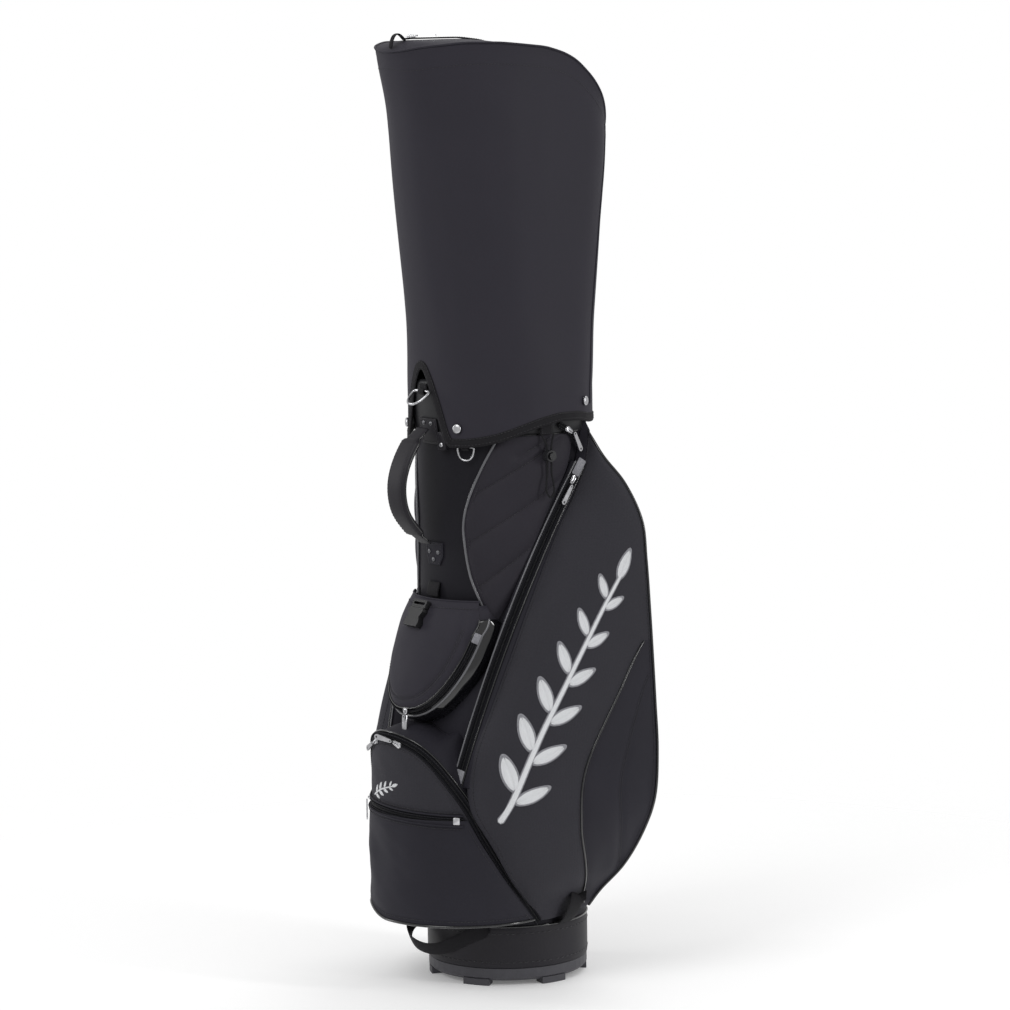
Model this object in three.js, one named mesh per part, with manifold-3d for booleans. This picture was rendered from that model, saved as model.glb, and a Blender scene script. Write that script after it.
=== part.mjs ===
// Golf staff bag with a rain hood: rigid tube, moulded base and cuff, a club divider, two long side
// pockets, a ball pocket that tilts open, a valuables pouch, a carry handle, rings, zips and snaps.
// Millimetres, +Z up, z = 0 on the floor, the tube's axis at x = y = 0.
// The front, with the handle and the ball pocket, faces -Y. The side pockets are on +X and -X.
import * as THREE from 'three';
import { mergeVertices } from 'three/addons/utils/BufferGeometryUtils.js';
import Module from 'manifold-3d';

const wasm = await Module();
wasm.setup();

// ---- driving dimensions ----
const GAP = 0.4;                    // play between pieces that touch
const WALL = 3;                     // tube wall
const SKIN = 2.4;                   // sewn panels
const HOOD_SKIN = 1.8;
const FOOT_HEIGHT = 7;
const BASE_TOP = 24;
const BAND_TOP = 80;
const TUBE_TOP = 801;
const TUBE_RADIUS_LOW = 108;
const TUBE_RADIUS_HIGH = 112;
const CUFF_BOTTOM = 742;
const CUFF_TOP = 813.5;
const CUFF_RADIUS = 121.5;
const HOOD_RADIUS = 124.6;          // at the hem
const HEM_CORNER_Z = 728;
const HEM_SIDE_Z = 769;
const NOTCH_TOP_Z = 829;
const NOTCH_HALF_DEG = 18;
const BALL_CENTRE_Y = -70;          // axis of the ball pocket's round front
const BALL_RADIUS = 118;
const BALL_BOTTOM = 97;
const BALL_HEIGHT = 226;            // of the arch, above its springing
const BALL_SPRING_Z = 110;
const BALL_DOOR_MAX_X = 113;
const FRONT_POCKET_TOP = 238;
const POUCH_RADIUS = 102;
const POUCH_TOP = 522;
const POUCH_BOTTOM = 378;
const POUCH_HALF_WIDTH = 95;

const DEG = Math.PI / 180;
const Z_AXIS = new THREE.Vector3(0, 0, 1);
const v3 = (x, y, z) => new THREE.Vector3(x, y, z);
const lerp = THREE.MathUtils.lerp;
const tubeRadius = z => lerp(TUBE_RADIUS_LOW, TUBE_RADIUS_HIGH, THREE.MathUtils.clamp((z - 81) / 660, 0, 1));
const polar = (radius, degrees, z) => v3(radius * Math.cos(degrees * DEG), radius * Math.sin(degrees * DEG), z);

// ---- materials ----
const LOOKS = {
  fabric: { color: 0x17171b, roughness: 0.85, metalness: 0 },
  quilt: { color: 0x1a1a1f, roughness: 0.8, metalness: 0 },
  patent: { color: 0x08080a, roughness: 0.18, metalness: 0 },
  leather: { color: 0x141416, roughness: 0.6, metalness: 0 },
  webbing: { color: 0x111113, roughness: 0.9, metalness: 0 },
  plastic: { color: 0x1c1c1f, roughness: 0.55, metalness: 0 },
  base_plastic: { color: 0x2e2e33, roughness: 0.6, metalness: 0 },
  nickel: { color: 0xb9bbc0, roughness: 0.25, metalness: 1 },
  lining: { color: 0x232328, roughness: 0.9, metalness: 0 },
  zip: { color: 0x101012, roughness: 0.7, metalness: 0 },
};

const bag = new THREE.Group();
function add(name, look, geometry) {
  const mesh = new THREE.Mesh(geometry, new THREE.MeshStandardMaterial(LOOKS[look]));
  mesh.name = name;
  bag.add(mesh);
  return mesh;
}

// ---- solids ----
function signedVolume(geometry) {
  const p = geometry.getAttribute('position');
  const index = geometry.getIndex().array;
  const a = v3(), b = v3(), c = v3();
  let sum = 0;
  for (let i = 0; i < index.length; i += 3) {
    a.fromBufferAttribute(p, index[i]);
    b.fromBufferAttribute(p, index[i + 1]);
    c.fromBufferAttribute(p, index[i + 2]);
    sum += a.dot(b.cross(c)) / 6;
  }
  return sum;
}

function fromPoints(points, index) {
  const geometry = new THREE.BufferGeometry();
  geometry.setAttribute('position', new THREE.Float32BufferAttribute(points.flatMap(p => [p.x, p.y, p.z]), 3));
  geometry.setIndex(index);
  if (signedVolume(geometry) < 0) geometry.setIndex(index.toReversed());
  return geometry;
}

function bare(geometry) {
  const copy = geometry.clone();
  copy.deleteAttribute('normal');
  copy.deleteAttribute('uv');
  return mergeVertices(copy, 1e-4);
}

function solid(geometry) {
  const merged = bare(geometry);
  return new wasm.Manifold(new wasm.Mesh({
    numProp: 3,
    vertProperties: new Float32Array(merged.getAttribute('position').array),
    triVerts: new Uint32Array(merged.getIndex().array),
  }));
}

function geometryOf(manifold) {
  const mesh = manifold.getMesh();
  const geometry = new THREE.BufferGeometry();
  geometry.setAttribute('position', new THREE.Float32BufferAttribute(mesh.vertProperties, 3));
  geometry.setIndex(Array.from(mesh.triVerts));
  return geometry;
}

// A ring-shaped or solid turned piece from its half-section of [radius, z] points.
function turned(section, segments) {
  const profile = section.map(([r, z]) => new THREE.Vector2(r, z));
  if (section[0][0] > 0) profile.push(profile[0].clone());
  const geometry = new THREE.LatheGeometry(profile, segments).rotateX(Math.PI / 2);
  const merged = bare(geometry);
  const points = [];
  for (let i = 0; i < merged.getAttribute('position').count; i++) {
    points.push(v3().fromBufferAttribute(merged.getAttribute('position'), i));
  }
  return fromPoints(points, Array.from(merged.getIndex().array));
}

// A sewn panel: the surface place(u, v), u and v from 0 to 1, given a thickness along its normal.
function panel(place, across, along, thickness, closedAcross = false) {
  const step = 1e-3;
  const front = [];
  const back = [];
  const columns = closedAcross ? across : across + 1;
  for (let j = 0; j <= along; j++) {
    for (let i = 0; i < columns; i++) {
      const u = i / across, v = j / along;
      const du = closedAcross || (u > step && u < 1 - step) ? step : (u <= step ? step : 0);
      const dv = v < 1 - step ? step : 0;
      const eu = closedAcross || u > step ? step : 0;
      const ev = v > step ? step : 0;
      const wrap = a => (closedAcross ? (a + 1) % 1 : a);
      const tu = place(wrap(u + du), v).sub(place(wrap(u - eu), v));
      const tv = place(u, v + dv).sub(place(u, v - ev));
      const normal = tu.cross(tv).normalize();
      const p = place(u, v);
      front.push(p);
      back.push(p.clone().addScaledVector(normal, thickness));
    }
  }
  const total = front.length;
  const index = [];
  const at = (i, j) => j * columns + (i % columns);
  for (let j = 0; j < along; j++) {
    for (let i = 0; i < across; i++) {
      const [a, b, c, d] = [at(i, j), at(i + 1, j), at(i + 1, j + 1), at(i, j + 1)];
      index.push(a, b, c, a, c, d);
      index.push(a + total, c + total, b + total, a + total, d + total, c + total);
    }
  }
  const wall = (a, b) => index.push(a, a + total, b, b, a + total, b + total);
  for (let i = 0; i < across; i++) {
    wall(at(i, 0), at(i + 1, 0));
    wall(at(i + 1, along), at(i, along));
  }
  if (!closedAcross) {
    for (let j = 0; j < along; j++) {
      wall(at(0, j + 1), at(0, j));
      wall(at(across, j), at(across, j + 1));
    }
  }
  return fromPoints(front.concat(back), index);
}

// A flat strap of the given width and thickness along a smooth curve, its broad side facing `out`.
function strap(points, width, thickness, steps, widthAxis) {
  const curve = new THREE.CatmullRomCurve3(points, false, 'centripetal');
  const side = widthAxis.clone().normalize();
  return panel((u, v) => curve.getPoint(v).addScaledVector(side, (u - 0.5) * width), 1, steps, thickness);
}

function box(width, depth, height, chamfer = 0.8) {
  const shape = new THREE.Shape();
  const x = width / 2, y = depth / 2;
  shape.moveTo(-x + chamfer, -y).lineTo(x - chamfer, -y).lineTo(x, -y + chamfer).lineTo(x, y - chamfer);
  shape.lineTo(x - chamfer, y).lineTo(-x + chamfer, y).lineTo(-x, y - chamfer).lineTo(-x, -y + chamfer);
  return new THREE.ExtrudeGeometry(shape, { depth: height, bevelEnabled: false });
}

// ---- arcs that the zips follow ----
function arcThrough(a, b, c) {
  const ab = b.clone().sub(a), ac = c.clone().sub(a);
  const axis = ab.clone().cross(ac);
  const centre = axis.clone().cross(ab).multiplyScalar(ac.lengthSq())
    .add(ac.clone().cross(axis).multiplyScalar(ab.lengthSq()))
    .divideScalar(2 * axis.lengthSq()).add(a);
  axis.normalize();
  const start = a.clone().sub(centre), end = c.clone().sub(centre);
  const sweep = Math.atan2(axis.dot(start.clone().cross(end)), start.dot(end));
  const point = t => start.clone().applyAxisAngle(axis, sweep * t).add(centre);
  const tangent = t => axis.clone().cross(point(t).sub(centre)).normalize().multiplyScalar(Math.sign(sweep));
  return { centre, axis, sweep, point, tangent };
}

// ---- base, tube, cuff and divider ----
const BASE_RADIUS = 107.5;
function baseRing() {
  const plate = turned([[0, FOOT_HEIGHT], [BASE_RADIUS - 4, FOOT_HEIGHT], [BASE_RADIUS, FOOT_HEIGHT + 4],
    [BASE_RADIUS, BASE_TOP - GAP], [TUBE_RADIUS_LOW - WALL + GAP, BASE_TOP - GAP],
    [TUBE_RADIUS_LOW - WALL + GAP, 12], [0, 12]], 48);
  let ring = solid(plate);
  const FOOT_COUNT = 6, FOOT_HALF_DEG = 10.2;
  for (let k = 0; k < FOOT_COUNT; k++) {
    const foot = new THREE.Shape();
    foot.absarc(0, 0, BASE_RADIUS - 0.5, -FOOT_HALF_DEG * DEG, FOOT_HALF_DEG * DEG, false);
    foot.absarc(0, 0, BASE_RADIUS - 20, FOOT_HALF_DEG * DEG, -FOOT_HALF_DEG * DEG, true);
    const block = new THREE.ExtrudeGeometry(foot, { depth: FOOT_HEIGHT + 2, bevelEnabled: false, curveSegments: 5 });
    ring = ring.add(solid(block.rotateZ(k * Math.PI / 3)));
  }
  const hub = new THREE.CylinderGeometry(26, 28, FOOT_HEIGHT + 2, 36).rotateX(-Math.PI / 2);
  return geometryOf(ring.add(solid(hub.translate(0, 0, (FOOT_HEIGHT + 2) / 2))));
}
add('base_ring', 'base_plastic', baseRing());
add('base_band', 'leather', turned([[TUBE_RADIUS_LOW - WALL + GAP, BASE_TOP], [TUBE_RADIUS_LOW + 0.6, BASE_TOP],
  [TUBE_RADIUS_LOW + 0.6, BAND_TOP], [TUBE_RADIUS_LOW - WALL + GAP, BAND_TOP]], 48));
const LOW_RADIUS = TUBE_RADIUS_LOW - WALL;
add('tube_shell', 'fabric', turned([[LOW_RADIUS, 12.4], [LOW_RADIUS, 80.5], [TUBE_RADIUS_LOW, 80.5],
  [TUBE_RADIUS_HIGH, 741], [TUBE_RADIUS_HIGH, TUBE_TOP], [TUBE_RADIUS_HIGH - WALL, TUBE_TOP],
  [TUBE_RADIUS_HIGH - WALL, 741], [TUBE_RADIUS_LOW - WALL, 84], [LOW_RADIUS - WALL, 78],
  [LOW_RADIUS - WALL, 12.4]], 48));
add('top_cuff', 'plastic', turned([[TUBE_RADIUS_HIGH + GAP, CUFF_BOTTOM], [114, CUFF_BOTTOM], [119.5, 775],
  [CUFF_RADIUS, 795], [CUFF_RADIUS, 808], [119.5, 812], [116.5, CUFF_TOP], [113, 812], [111, 808],
  [111, TUBE_TOP + GAP], [TUBE_RADIUS_HIGH + GAP, TUBE_TOP + GAP]], 48));

const WELL_RADIUS = TUBE_RADIUS_HIGH - WALL - 0.6;
const BAR_Y = [-36, 36];
function dividerCross(barWidth, bottom, top, radius) {
  const height = top - bottom;
  const wide = new THREE.BoxGeometry(2 * radius, barWidth, height);
  let cross = solid(new THREE.BoxGeometry(barWidth, 2 * radius, height).translate(0, 0, bottom + height / 2));
  for (const y of BAR_Y) cross = cross.add(solid(wide.clone().translate(0, y, bottom + height / 2)));
  const drum = new THREE.CylinderGeometry(radius, radius, height + 2, 48).rotateX(Math.PI / 2);
  return cross.intersect(solid(drum.translate(0, 0, bottom + height / 2)));
}
const FRAME_BOTTOM = 782, FRAME_TOP = 800;
const dividerRing = turned([[WELL_RADIUS - 7, FRAME_BOTTOM], [WELL_RADIUS, FRAME_BOTTOM],
  [WELL_RADIUS, FRAME_TOP], [WELL_RADIUS - 4, FRAME_TOP + 3], [WELL_RADIUS - 7, FRAME_TOP]], 48);
add('divider_frame', 'plastic', geometryOf(solid(dividerRing)
  .add(dividerCross(9, FRAME_BOTTOM, FRAME_TOP, WELL_RADIUS - 2))));
add('divider_sheets', 'lining', geometryOf(dividerCross(1.6, 14, FRAME_BOTTOM - GAP, LOW_RADIUS - WALL - 1.4)));

// ---- hood ----
// Heading is the angle round from the front, 0 at -Y, positive towards +X.
function hemHeight(headingDeg) {
  const off = Math.abs(headingDeg);
  if (off < NOTCH_HALF_DEG) return lerp(NOTCH_TOP_Z, HEM_CORNER_Z, Math.pow(off / NOTCH_HALF_DEG, 1.3));
  const rise = THREE.MathUtils.smoothstep(off, NOTCH_HALF_DEG - 8, 96);
  return lerp(HEM_CORNER_Z, HEM_SIDE_Z, rise);
}
// Tables of [height, front half-length], and of [y, height] for the top's edge and its middle line.
const HOOD_WIDE = 119;
const FRONT_REACH = [[800, 124.6], [860, 125.5], [914, 129.4], [994, 139.3], [1074, 148.9], [1154, 158.2],
  [1194, 164.9], [1243, 176]];
const TOP_EDGE = [[-176, 1243], [-172, 1247], [-152, 1252], [-116, 1256.5], [-71, 1256], [-32, 1252], [-4, 1249],
  [25, 1241], [47, 1231], [82, 1205], [108, 1180], [124, 1155], [137, 1128], [143, 1100]];
const TOP_MIDDLE = [[-176, 1243], [-165, 1252], [-155, 1257], [-146, 1261], [-60, 1261], [-30, 1257.5], [0, 1250.5],
  [25, 1242], [47, 1231.5], [82, 1205], [108, 1180], [124, 1155], [137, 1128], [143, 1100]];
function read(table, at) {
  const k = Math.min(table.length - 2, Math.max(0, table.findIndex(([x]) => x > at) - 1 + (at >= table.at(-1)[0]
    ? table.length : 0)));
  const [[x0, y0], [x1, y1]] = [table[k], table[k + 1]];
  return lerp(y0, y1, THREE.MathUtils.clamp((at - x0) / (x1 - x0), 0, 1));
}
// The wall's cross-section at a height: round at the hem, longer to the front and squarer behind higher up.
function hoodWall(heading, z, inset) {
  const share = THREE.MathUtils.clamp((z - 800) / 330, 0, 1);
  const a = lerp(HOOD_RADIUS, HOOD_WIDE, share) - inset;
  const [c, s] = [Math.cos(heading), Math.sin(heading)];
  if (c >= 0) return v3(a * s, -(read(FRONT_REACH, z) - inset) * c, z);
  const power = 2 / lerp(2, 2.6, share);
  return v3(a * Math.sign(s) * Math.pow(Math.abs(s), power),
    (lerp(HOOD_RADIUS, 143, share) - inset) * Math.pow(-c, power), z);
}
function hoodRim(headingDeg, inset) {
  let z = 1200;
  for (let k = 0; k < 30; k++) z = lerp(z, read(TOP_EDGE, hoodWall(headingDeg * DEG, z, 0).y), 0.5);
  return hoodWall(headingDeg * DEG, z - inset, inset);
}
function hoodShell() {
  const half = [0, 4, 8, 13, 18, 22];
  for (let h = 34; h < 180; h += 12) half.push(h);
  half.push(180);
  const all = half.concat(half.slice(1, -1).reverse().map(h => -h));
  const climbs = [0, 0.14, 0.32, 0.5, 0.68, 0.84, 0.93, 1], reaches = [0.3, 0.65, 1];
  const points = [], index = [];
  const n = all.length, middle = half.length - 1;
  const skin = inset => {
    const wall = climbs.map(climb => all.map(heading => {
      const rim = hoodRim(heading, inset);
      return points.push(climb === 1 ? rim : hoodWall(heading * DEG, lerp(hemHeight(heading), rim.z, climb), inset)) - 1;
    }));
    const rim = wall.at(-1);
    const cap = new Map();
    const capPoint = (i, reach) => {
      if (i === 0 || i === middle || reach === 0) return rim[i];
      const key = reach === 1 ? `${Math.min(i, n - i)},1` : `${i},${reach}`;
      if (!cap.has(key)) {
        const edge = points[rim[i]];
        const rise = read(TOP_MIDDLE, edge.y) - read(TOP_EDGE, edge.y);
        cap.set(key, points.push(v3(edge.x * (1 - reach), edge.y, edge.z + rise * reach * (2 - reach))) - 1);
      }
      return cap.get(key);
    };
    const face = (...corners) => {
      const distinct = corners.filter((c, k) => c !== corners[(k + 1) % corners.length]);
      for (let k = 1; k + 1 < distinct.length; k++) {
        index.push(...(inset ? [distinct[0], distinct[k + 1], distinct[k]] : [distinct[0], distinct[k], distinct[k + 1]]));
      }
    };
    for (let i = 0; i < n; i++) {
      const k = (i + 1) % n;
      for (let j = 0; j + 1 < climbs.length; j++) face(wall[j][i], wall[j][k], wall[j + 1][k], wall[j + 1][i]);
      let from = 0;
      for (const reach of reaches) {
        face(capPoint(i, from), capPoint(k, from), capPoint(k, reach), capPoint(i, reach));
        from = reach;
      }
    }
    return wall[0];
  };
  const outer = skin(0), inner = skin(HOOD_SKIN);
  for (let i = 0; i < n; i++) {
    const k = (i + 1) % n;
    index.push(outer[i], inner[i], outer[k], outer[k], inner[i], inner[k]);
  }
  return fromPoints(points, index);
}
add('hood_shell', 'fabric', hoodShell());

const HOOD_ZIP_Z = 1261.5;           // of the straight stretch where the slider runs
add('hood_zip_track', 'zip', panel((u, v) => {
  const y = lerp(-145, 30, v);
  return v3((u - 0.5) * 14, y, read(TOP_MIDDLE, y) + 0.5);
}, 1, 20, 1.6));
add('hood_zip_slider', 'nickel', box(9, 13, 3.6).translate(0, -136, HOOD_ZIP_Z + 2));
function pullTab(length, width = 7, thick = 1.8) {
  const outline = new THREE.Shape();
  const r = width / 2;
  outline.absarc(0, -length + r, r, Math.PI, 2 * Math.PI, false);
  outline.absarc(0, 0, r * 0.72, 0, Math.PI, false);
  const eye = new THREE.Path().absarc(0, 0, r * 0.36, 0, 2 * Math.PI, true);
  const slot = new THREE.Path();
  slot.absarc(0, -length + r, r * 0.45, 0, 2 * Math.PI, true);
  outline.holes.push(eye, slot);
  return new THREE.ExtrudeGeometry(outline, { depth: thick, bevelEnabled: false, curveSegments: 3 });
}
// It lies on the hood, pointing back from its eye.
add('hood_zip_pull', 'nickel', pullTab(30).rotateZ(Math.PI).translate(0, -126, HOOD_ZIP_Z + 3.5));
add('hood_pull_loop', 'webbing', strap([v3(0, -147.5, 1261.6), v3(0, -152, 1266), v3(0, -157, 1268.6),
  v3(0, -162, 1267), v3(0, -166, 1261), v3(0, -168, 1253)], 9, 1.8, 10, v3(1, 0, 0)));

// ---- side pockets ----
const SIDE_ZIP = arcThrough(v3(115, 43, 694), v3(112, -52, 528), v3(88, -131, 312));
function archHalfWidth(z, grow = 0) {
  const high = THREE.MathUtils.clamp((z - BALL_SPRING_Z) / (BALL_HEIGHT + grow), 0, 1);
  return (BALL_RADIUS + grow) * Math.pow(1 - Math.pow(high, 2.2), 1 / 2.2);
}
const ballFaceY = (x, radius) => BALL_CENTRE_Y - Math.sqrt(Math.max(radius * radius - x * x, 0));

// Rows of a side pocket from top to bottom: front edge, how far and which way it swells, back corner.
const SIDE_ROWS = [
  { front: [101, 72, 740], swell: [2, 3], lean: [2, -4], corner: [93, 78, 740] },
  { front: [112, 56, 704], swell: [12, 8], lean: [8, -10], corner: [122, 84, 708] },
  { front: [115.5, 37, 668], swell: [22, 10], lean: [14, -24], corner: [148.5, 101, 672] },
  { front: [118, 7, 620], swell: [32, 4], lean: [18, -38], corner: [168, 116.5, 622] },
  { front: [117.5, -19, 572], swell: [42, 0], lean: [20, -50], corner: [173.5, 120, 570] },
  { front: [117.5, -48, 514], swell: [58, -8], lean: [22, -60], corner: [177, 122.5, 505] },
  { front: [114, -76, 450], swell: [76, -14], lean: [24, -70], corner: [182, 125, 440] },
  { front: [106, -102, 385], swell: [90, -18], lean: [24, -78], corner: [186, 127.5, 380] },
  { front: [98, -127, 318], swell: [94, -12], lean: [24, -84], corner: [189.5, 130.5, 315] },
  { front: [103, -136, 258], swell: [88, 2], lean: [22, -84], corner: [186, 129, 250] },
  { front: [121, -111, 200], swell: [60, 10], lean: [20, -76], corner: [170, 121.5, 205] },
  { front: [128, -84, 150], swell: [32, 14], lean: [14, -60], corner: [143.5, 105, 155] },
  { front: [120, -48, 110], swell: [10, 12], lean: [8, -36], corner: [115.5, 83, 118] },
  { front: [114, -28, 90], swell: [10, 10], lean: [13, -24], corner: [100, 67, 97] },
];
function sidePocket(mirror) {
  const curve = key => new THREE.CatmullRomCurve3(SIDE_ROWS.map(row => {
    const [x, y, z] = key(row);
    return v3(x, y, z);
  }), false, 'centripetal');
  const front = curve(row => row.front);
  const corner = curve(row => row.corner);
  const frontHandle = curve(row => [row.front[0] + row.swell[0], row.front[1] + row.swell[1], row.front[2]]);
  const backHandle = curve(row => [row.corner[0] + row.lean[0], row.corner[1] + row.lean[1], row.corner[2]]);
  const seat = curve(row => {
    const reach = tubeRadius(row.corner[2]) + 5;
    const heading = Math.min(58, Math.atan2(row.corner[1], row.corner[0]) / DEG + 22);
    return [reach * Math.cos(heading * DEG), reach * Math.sin(heading * DEG), row.corner[2]];
  });
  const PANEL_SHARE = 0.75;
  const place = (u, v) => {
    let p;
    if (u <= PANEL_SHARE) {
      const bend = new THREE.CubicBezierCurve3(front.getPoint(v), frontHandle.getPoint(v),
        backHandle.getPoint(v), corner.getPoint(v));
      p = bend.getPoint(u / PANEL_SHARE);
    } else {
      p = corner.getPoint(v).lerp(seat.getPoint(v), (u - PANEL_SHARE) / (1 - PANEL_SHARE));
    }
    return v3(mirror * p.x, p.y, p.z);
  };
  return panel(place, 10, 15, mirror * SKIN);
}

function zipRibbon(arc, mirror, width, outward) {
  const place = (u, v) => {
    const p = arc.point(v);
    const out = outward(p);
    const across = arc.tangent(v).cross(out).normalize();
    p.addScaledVector(across, (u - 0.5) * width);
    return v3(mirror * p.x, p.y, p.z);
  };
  return place;
}
const radial = p => v3(p.x, p.y, 0).normalize();
const sideOut = p => radial(p).applyAxisAngle(Z_AXIS, -12 * DEG);

// A slider and its hanging pull at the place t of an arc, standing proud of the track.
function sliderAndPull(names, arc, t, mirror, outward, lift, { backwards = false, turn = 0, length = 27 } = {}) {
  const at = arc.point(t), out = outward(at);
  const down = arc.tangent(t).multiplyScalar(arc.tangent(t).z > 0 ? -1 : 1);
  if (backwards) down.negate();
  const across = out.clone().cross(down).normalize();
  const trueOut = down.clone().cross(across).normalize();
  const basis = new THREE.Matrix4().makeBasis(across, down.clone().negate(), trueOut);
  const place = (geometry, along, height) => {
    geometry.applyMatrix4(basis);
    geometry.translate(...at.clone().addScaledVector(down, along).addScaledVector(trueOut, height).toArray());
    if (mirror < 0) {
      geometry.scale(-1, 1, 1);
      return reversed(geometry);
    }
    return geometry;
  };
  const pivot = at.clone().addScaledVector(down, 10.2).addScaledVector(trueOut, lift + 2.3);
  const hinge = across.clone().negate();
  add(names[0], 'nickel', place(box(8, 13, 3.6), 0, lift));
  add(names[1], 'nickel', place(pullTab(length).rotateZ(turn * DEG), 10.2, lift + 1.4)).userData.hinge
    = { at: v3(mirror * pivot.x, pivot.y, pivot.z), axis: v3(hinge.x, mirror * hinge.y, mirror * hinge.z) };
}
function reversed(geometry) {
  const merged = bare(geometry);
  const index = Array.from(merged.getIndex().array).reverse();
  merged.setIndex(index);
  return merged;
}

const UPPER_ZIP = arcThrough(polar(119.5, 4.5, 753), polar(119.5, 17, 737), polar(120, 27, 716));
const TRACK = 1.6;
for (const [side, mirror] of [['right', 1], ['left', -1]]) {
  add(`side_pocket_${side}`, 'fabric', sidePocket(mirror));
  add(`side_zip_track_${side}`, 'zip', panel(zipRibbon(SIDE_ZIP, mirror, 11, radial), 1, 14, -mirror * TRACK));
  sliderAndPull([`side_zip_slider_${side}`, `side_zip_pull_${side}`], SIDE_ZIP, 0.045, mirror, sideOut, 2.6);
}
add('upper_zip_track', 'zip', panel(zipRibbon(UPPER_ZIP, 1, 9, radial), 1, 6, -TRACK));
sliderAndPull(['upper_zip_slider', 'upper_zip_pull'], UPPER_ZIP, 0.28, 1, radial, 3.6, { turn: -30 });

// ---- panels sewn on the tube ----
// Headings are polar angles in degrees from +X; each row is height, left edge and right edge.
const QUILT_ROWS = [[738, -37, 20], [697, -49, 15], [657, -58, 1], [624, -62, -7], [591, -61, -15], [551, -57, -24],
  [518, -50, -33], [495, -45, -40]];
function quiltPanel(mirror) {
  const edge = column => new THREE.CatmullRomCurve3(QUILT_ROWS.map(row => v3(row[column], 0, row[0])));
  const left = edge(1), right = edge(2);
  const place = (u, v) => {
    const spot = left.getPoint(v).lerp(right.getPoint(v), u);
    const p = polar(tubeRadius(spot.z) + GAP, spot.x, spot.z);
    return v3(mirror * p.x, p.y, p.z);
  };
  return panel(place, 7, 10, mirror * -SKIN);
}
add('quilt_panel_right', 'quilt', quiltPanel(1));
add('quilt_panel_left', 'quilt', quiltPanel(-1));

// The front panel fills out from the tube down to the ball pocket, between the two side zips.
const PANEL_TOP = 470, PANEL_LOW = 352;
const panelRadius = z => lerp(133, tubeRadius(z) + 1.5, THREE.MathUtils.smoothstep(z, PANEL_LOW, PANEL_TOP + 20));
const zipReach = z => lerp(46, 57, (PANEL_TOP - z) / (PANEL_TOP - PANEL_LOW));
add('front_panel', 'fabric', panel((u, v) => {
  const z = lerp(PANEL_TOP, PANEL_LOW, v);
  const half = 90 - zipReach(z);
  return polar(panelRadius(z), lerp(-90 - half, -90 + half, u), z);
}, 10, 5, -SKIN));

// ---- ball pocket ----
// The gusset is a closed band: floor and arch, open to the tube and, under the door, to the front.
const ARCH_STEPS = 28;
function archLoop(u, grow) {
  const SIDE_SHARE = 0.8;
  if (u < SIDE_SHARE) {
    const turn = Math.PI * u / SIDE_SHARE;
    const power = 2 / 2.2;
    const x = Math.sign(Math.cos(turn)) * Math.pow(Math.abs(Math.cos(turn)), power) * (BALL_RADIUS + grow);
    const z = BALL_SPRING_Z + Math.pow(Math.sin(turn), power) * (BALL_HEIGHT + grow);
    return [x, z];
  }
  const t = (u - SIDE_SHARE) / (1 - SIDE_SHARE);
  return [lerp(-1, 1, t) * (BALL_RADIUS + grow), BALL_BOTTOM - grow];
}
const CHEEK_Y = BALL_CENTRE_Y - Math.sqrt(BALL_RADIUS ** 2 - BALL_DOOR_MAX_X ** 2);
const gussetFront = x => Math.min(ballFaceY(x, BALL_RADIUS), CHEEK_Y);
const gussetBack = x => -Math.sqrt(Math.max((TUBE_RADIUS_LOW + 4) ** 2 - x * x, 34 ** 2));
add('ball_pocket_gusset', 'fabric', panel((u, v) => {
  const [x, z] = archLoop(u, -3);
  return v3(x, lerp(gussetFront(x), gussetBack(x), v), z);
}, ARCH_STEPS, 1, -SKIN, true));

const DOOR_INNER = BALL_RADIUS + 3;
function doorPlace(u, v, radius, low, high, inset = 0) {
  const z = lerp(low, high, v);
  const half = Math.min(archHalfWidth(z), BALL_DOOR_MAX_X) - inset;
  const x = half * Math.sin((u - 0.5) * Math.PI * 0.999);
  return v3(x, ballFaceY(x, radius), z);
}
const DOOR_TOP = BALL_SPRING_Z + BALL_HEIGHT - 4;
add('ball_pocket_door', 'fabric', panel((u, v) => doorPlace(u, Math.sqrt(v), DOOR_INNER, BALL_BOTTOM + 1, DOOR_TOP, 2),
  14, 8, SKIN));
add('ball_front_pocket', 'fabric', panel((u, v) => doorPlace(u, v, DOOR_INNER + SKIN + 1, BALL_BOTTOM + 3,
  FRONT_POCKET_TOP, 4), 14, 3, SKIN));

// A point of the arch's outline grown by `grow`; turn is 0 at the right springing, 90 at the top.
function archPoint(turnDeg, grow) {
  const turn = turnDeg * DEG, power = 2 / 2.2;
  const reach = Math.sign(Math.cos(turn)) * Math.pow(Math.abs(Math.cos(turn)), power);
  const z = BALL_SPRING_Z + Math.pow(Math.sin(turn), power) * (BALL_HEIGHT + grow);
  return v3(reach * (BALL_RADIUS + grow), ballFaceY(reach * BALL_RADIUS, DOOR_INNER), z);
}
const BALL_ZIP = arcThrough(archPoint(87, 5), archPoint(50, 5), archPoint(14, 5));
const ballZipTrack = () => panel((u, v) => archPoint(lerp(172, 8, v), lerp(1.2, 8.5, u)), 1, 26, TRACK);
add('ball_zip_track', 'zip', ballZipTrack());
const ballOut = p => v3(p.x, p.y - BALL_CENTRE_Y, 0).normalize();
sliderAndPull(['ball_zip_slider_right', 'ball_zip_pull_right'], BALL_ZIP, 0.06, 1, ballOut, 5.8,
  { backwards: true, turn: 14 });
sliderAndPull(['ball_zip_slider_left', 'ball_zip_pull_left'], BALL_ZIP, 0.1, -1, ballOut, 5.8);
const FRONT_ZIP_RADIUS = DOOR_INNER + SKIN;
const FRONT_ZIP_HEADING = -127;
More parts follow.
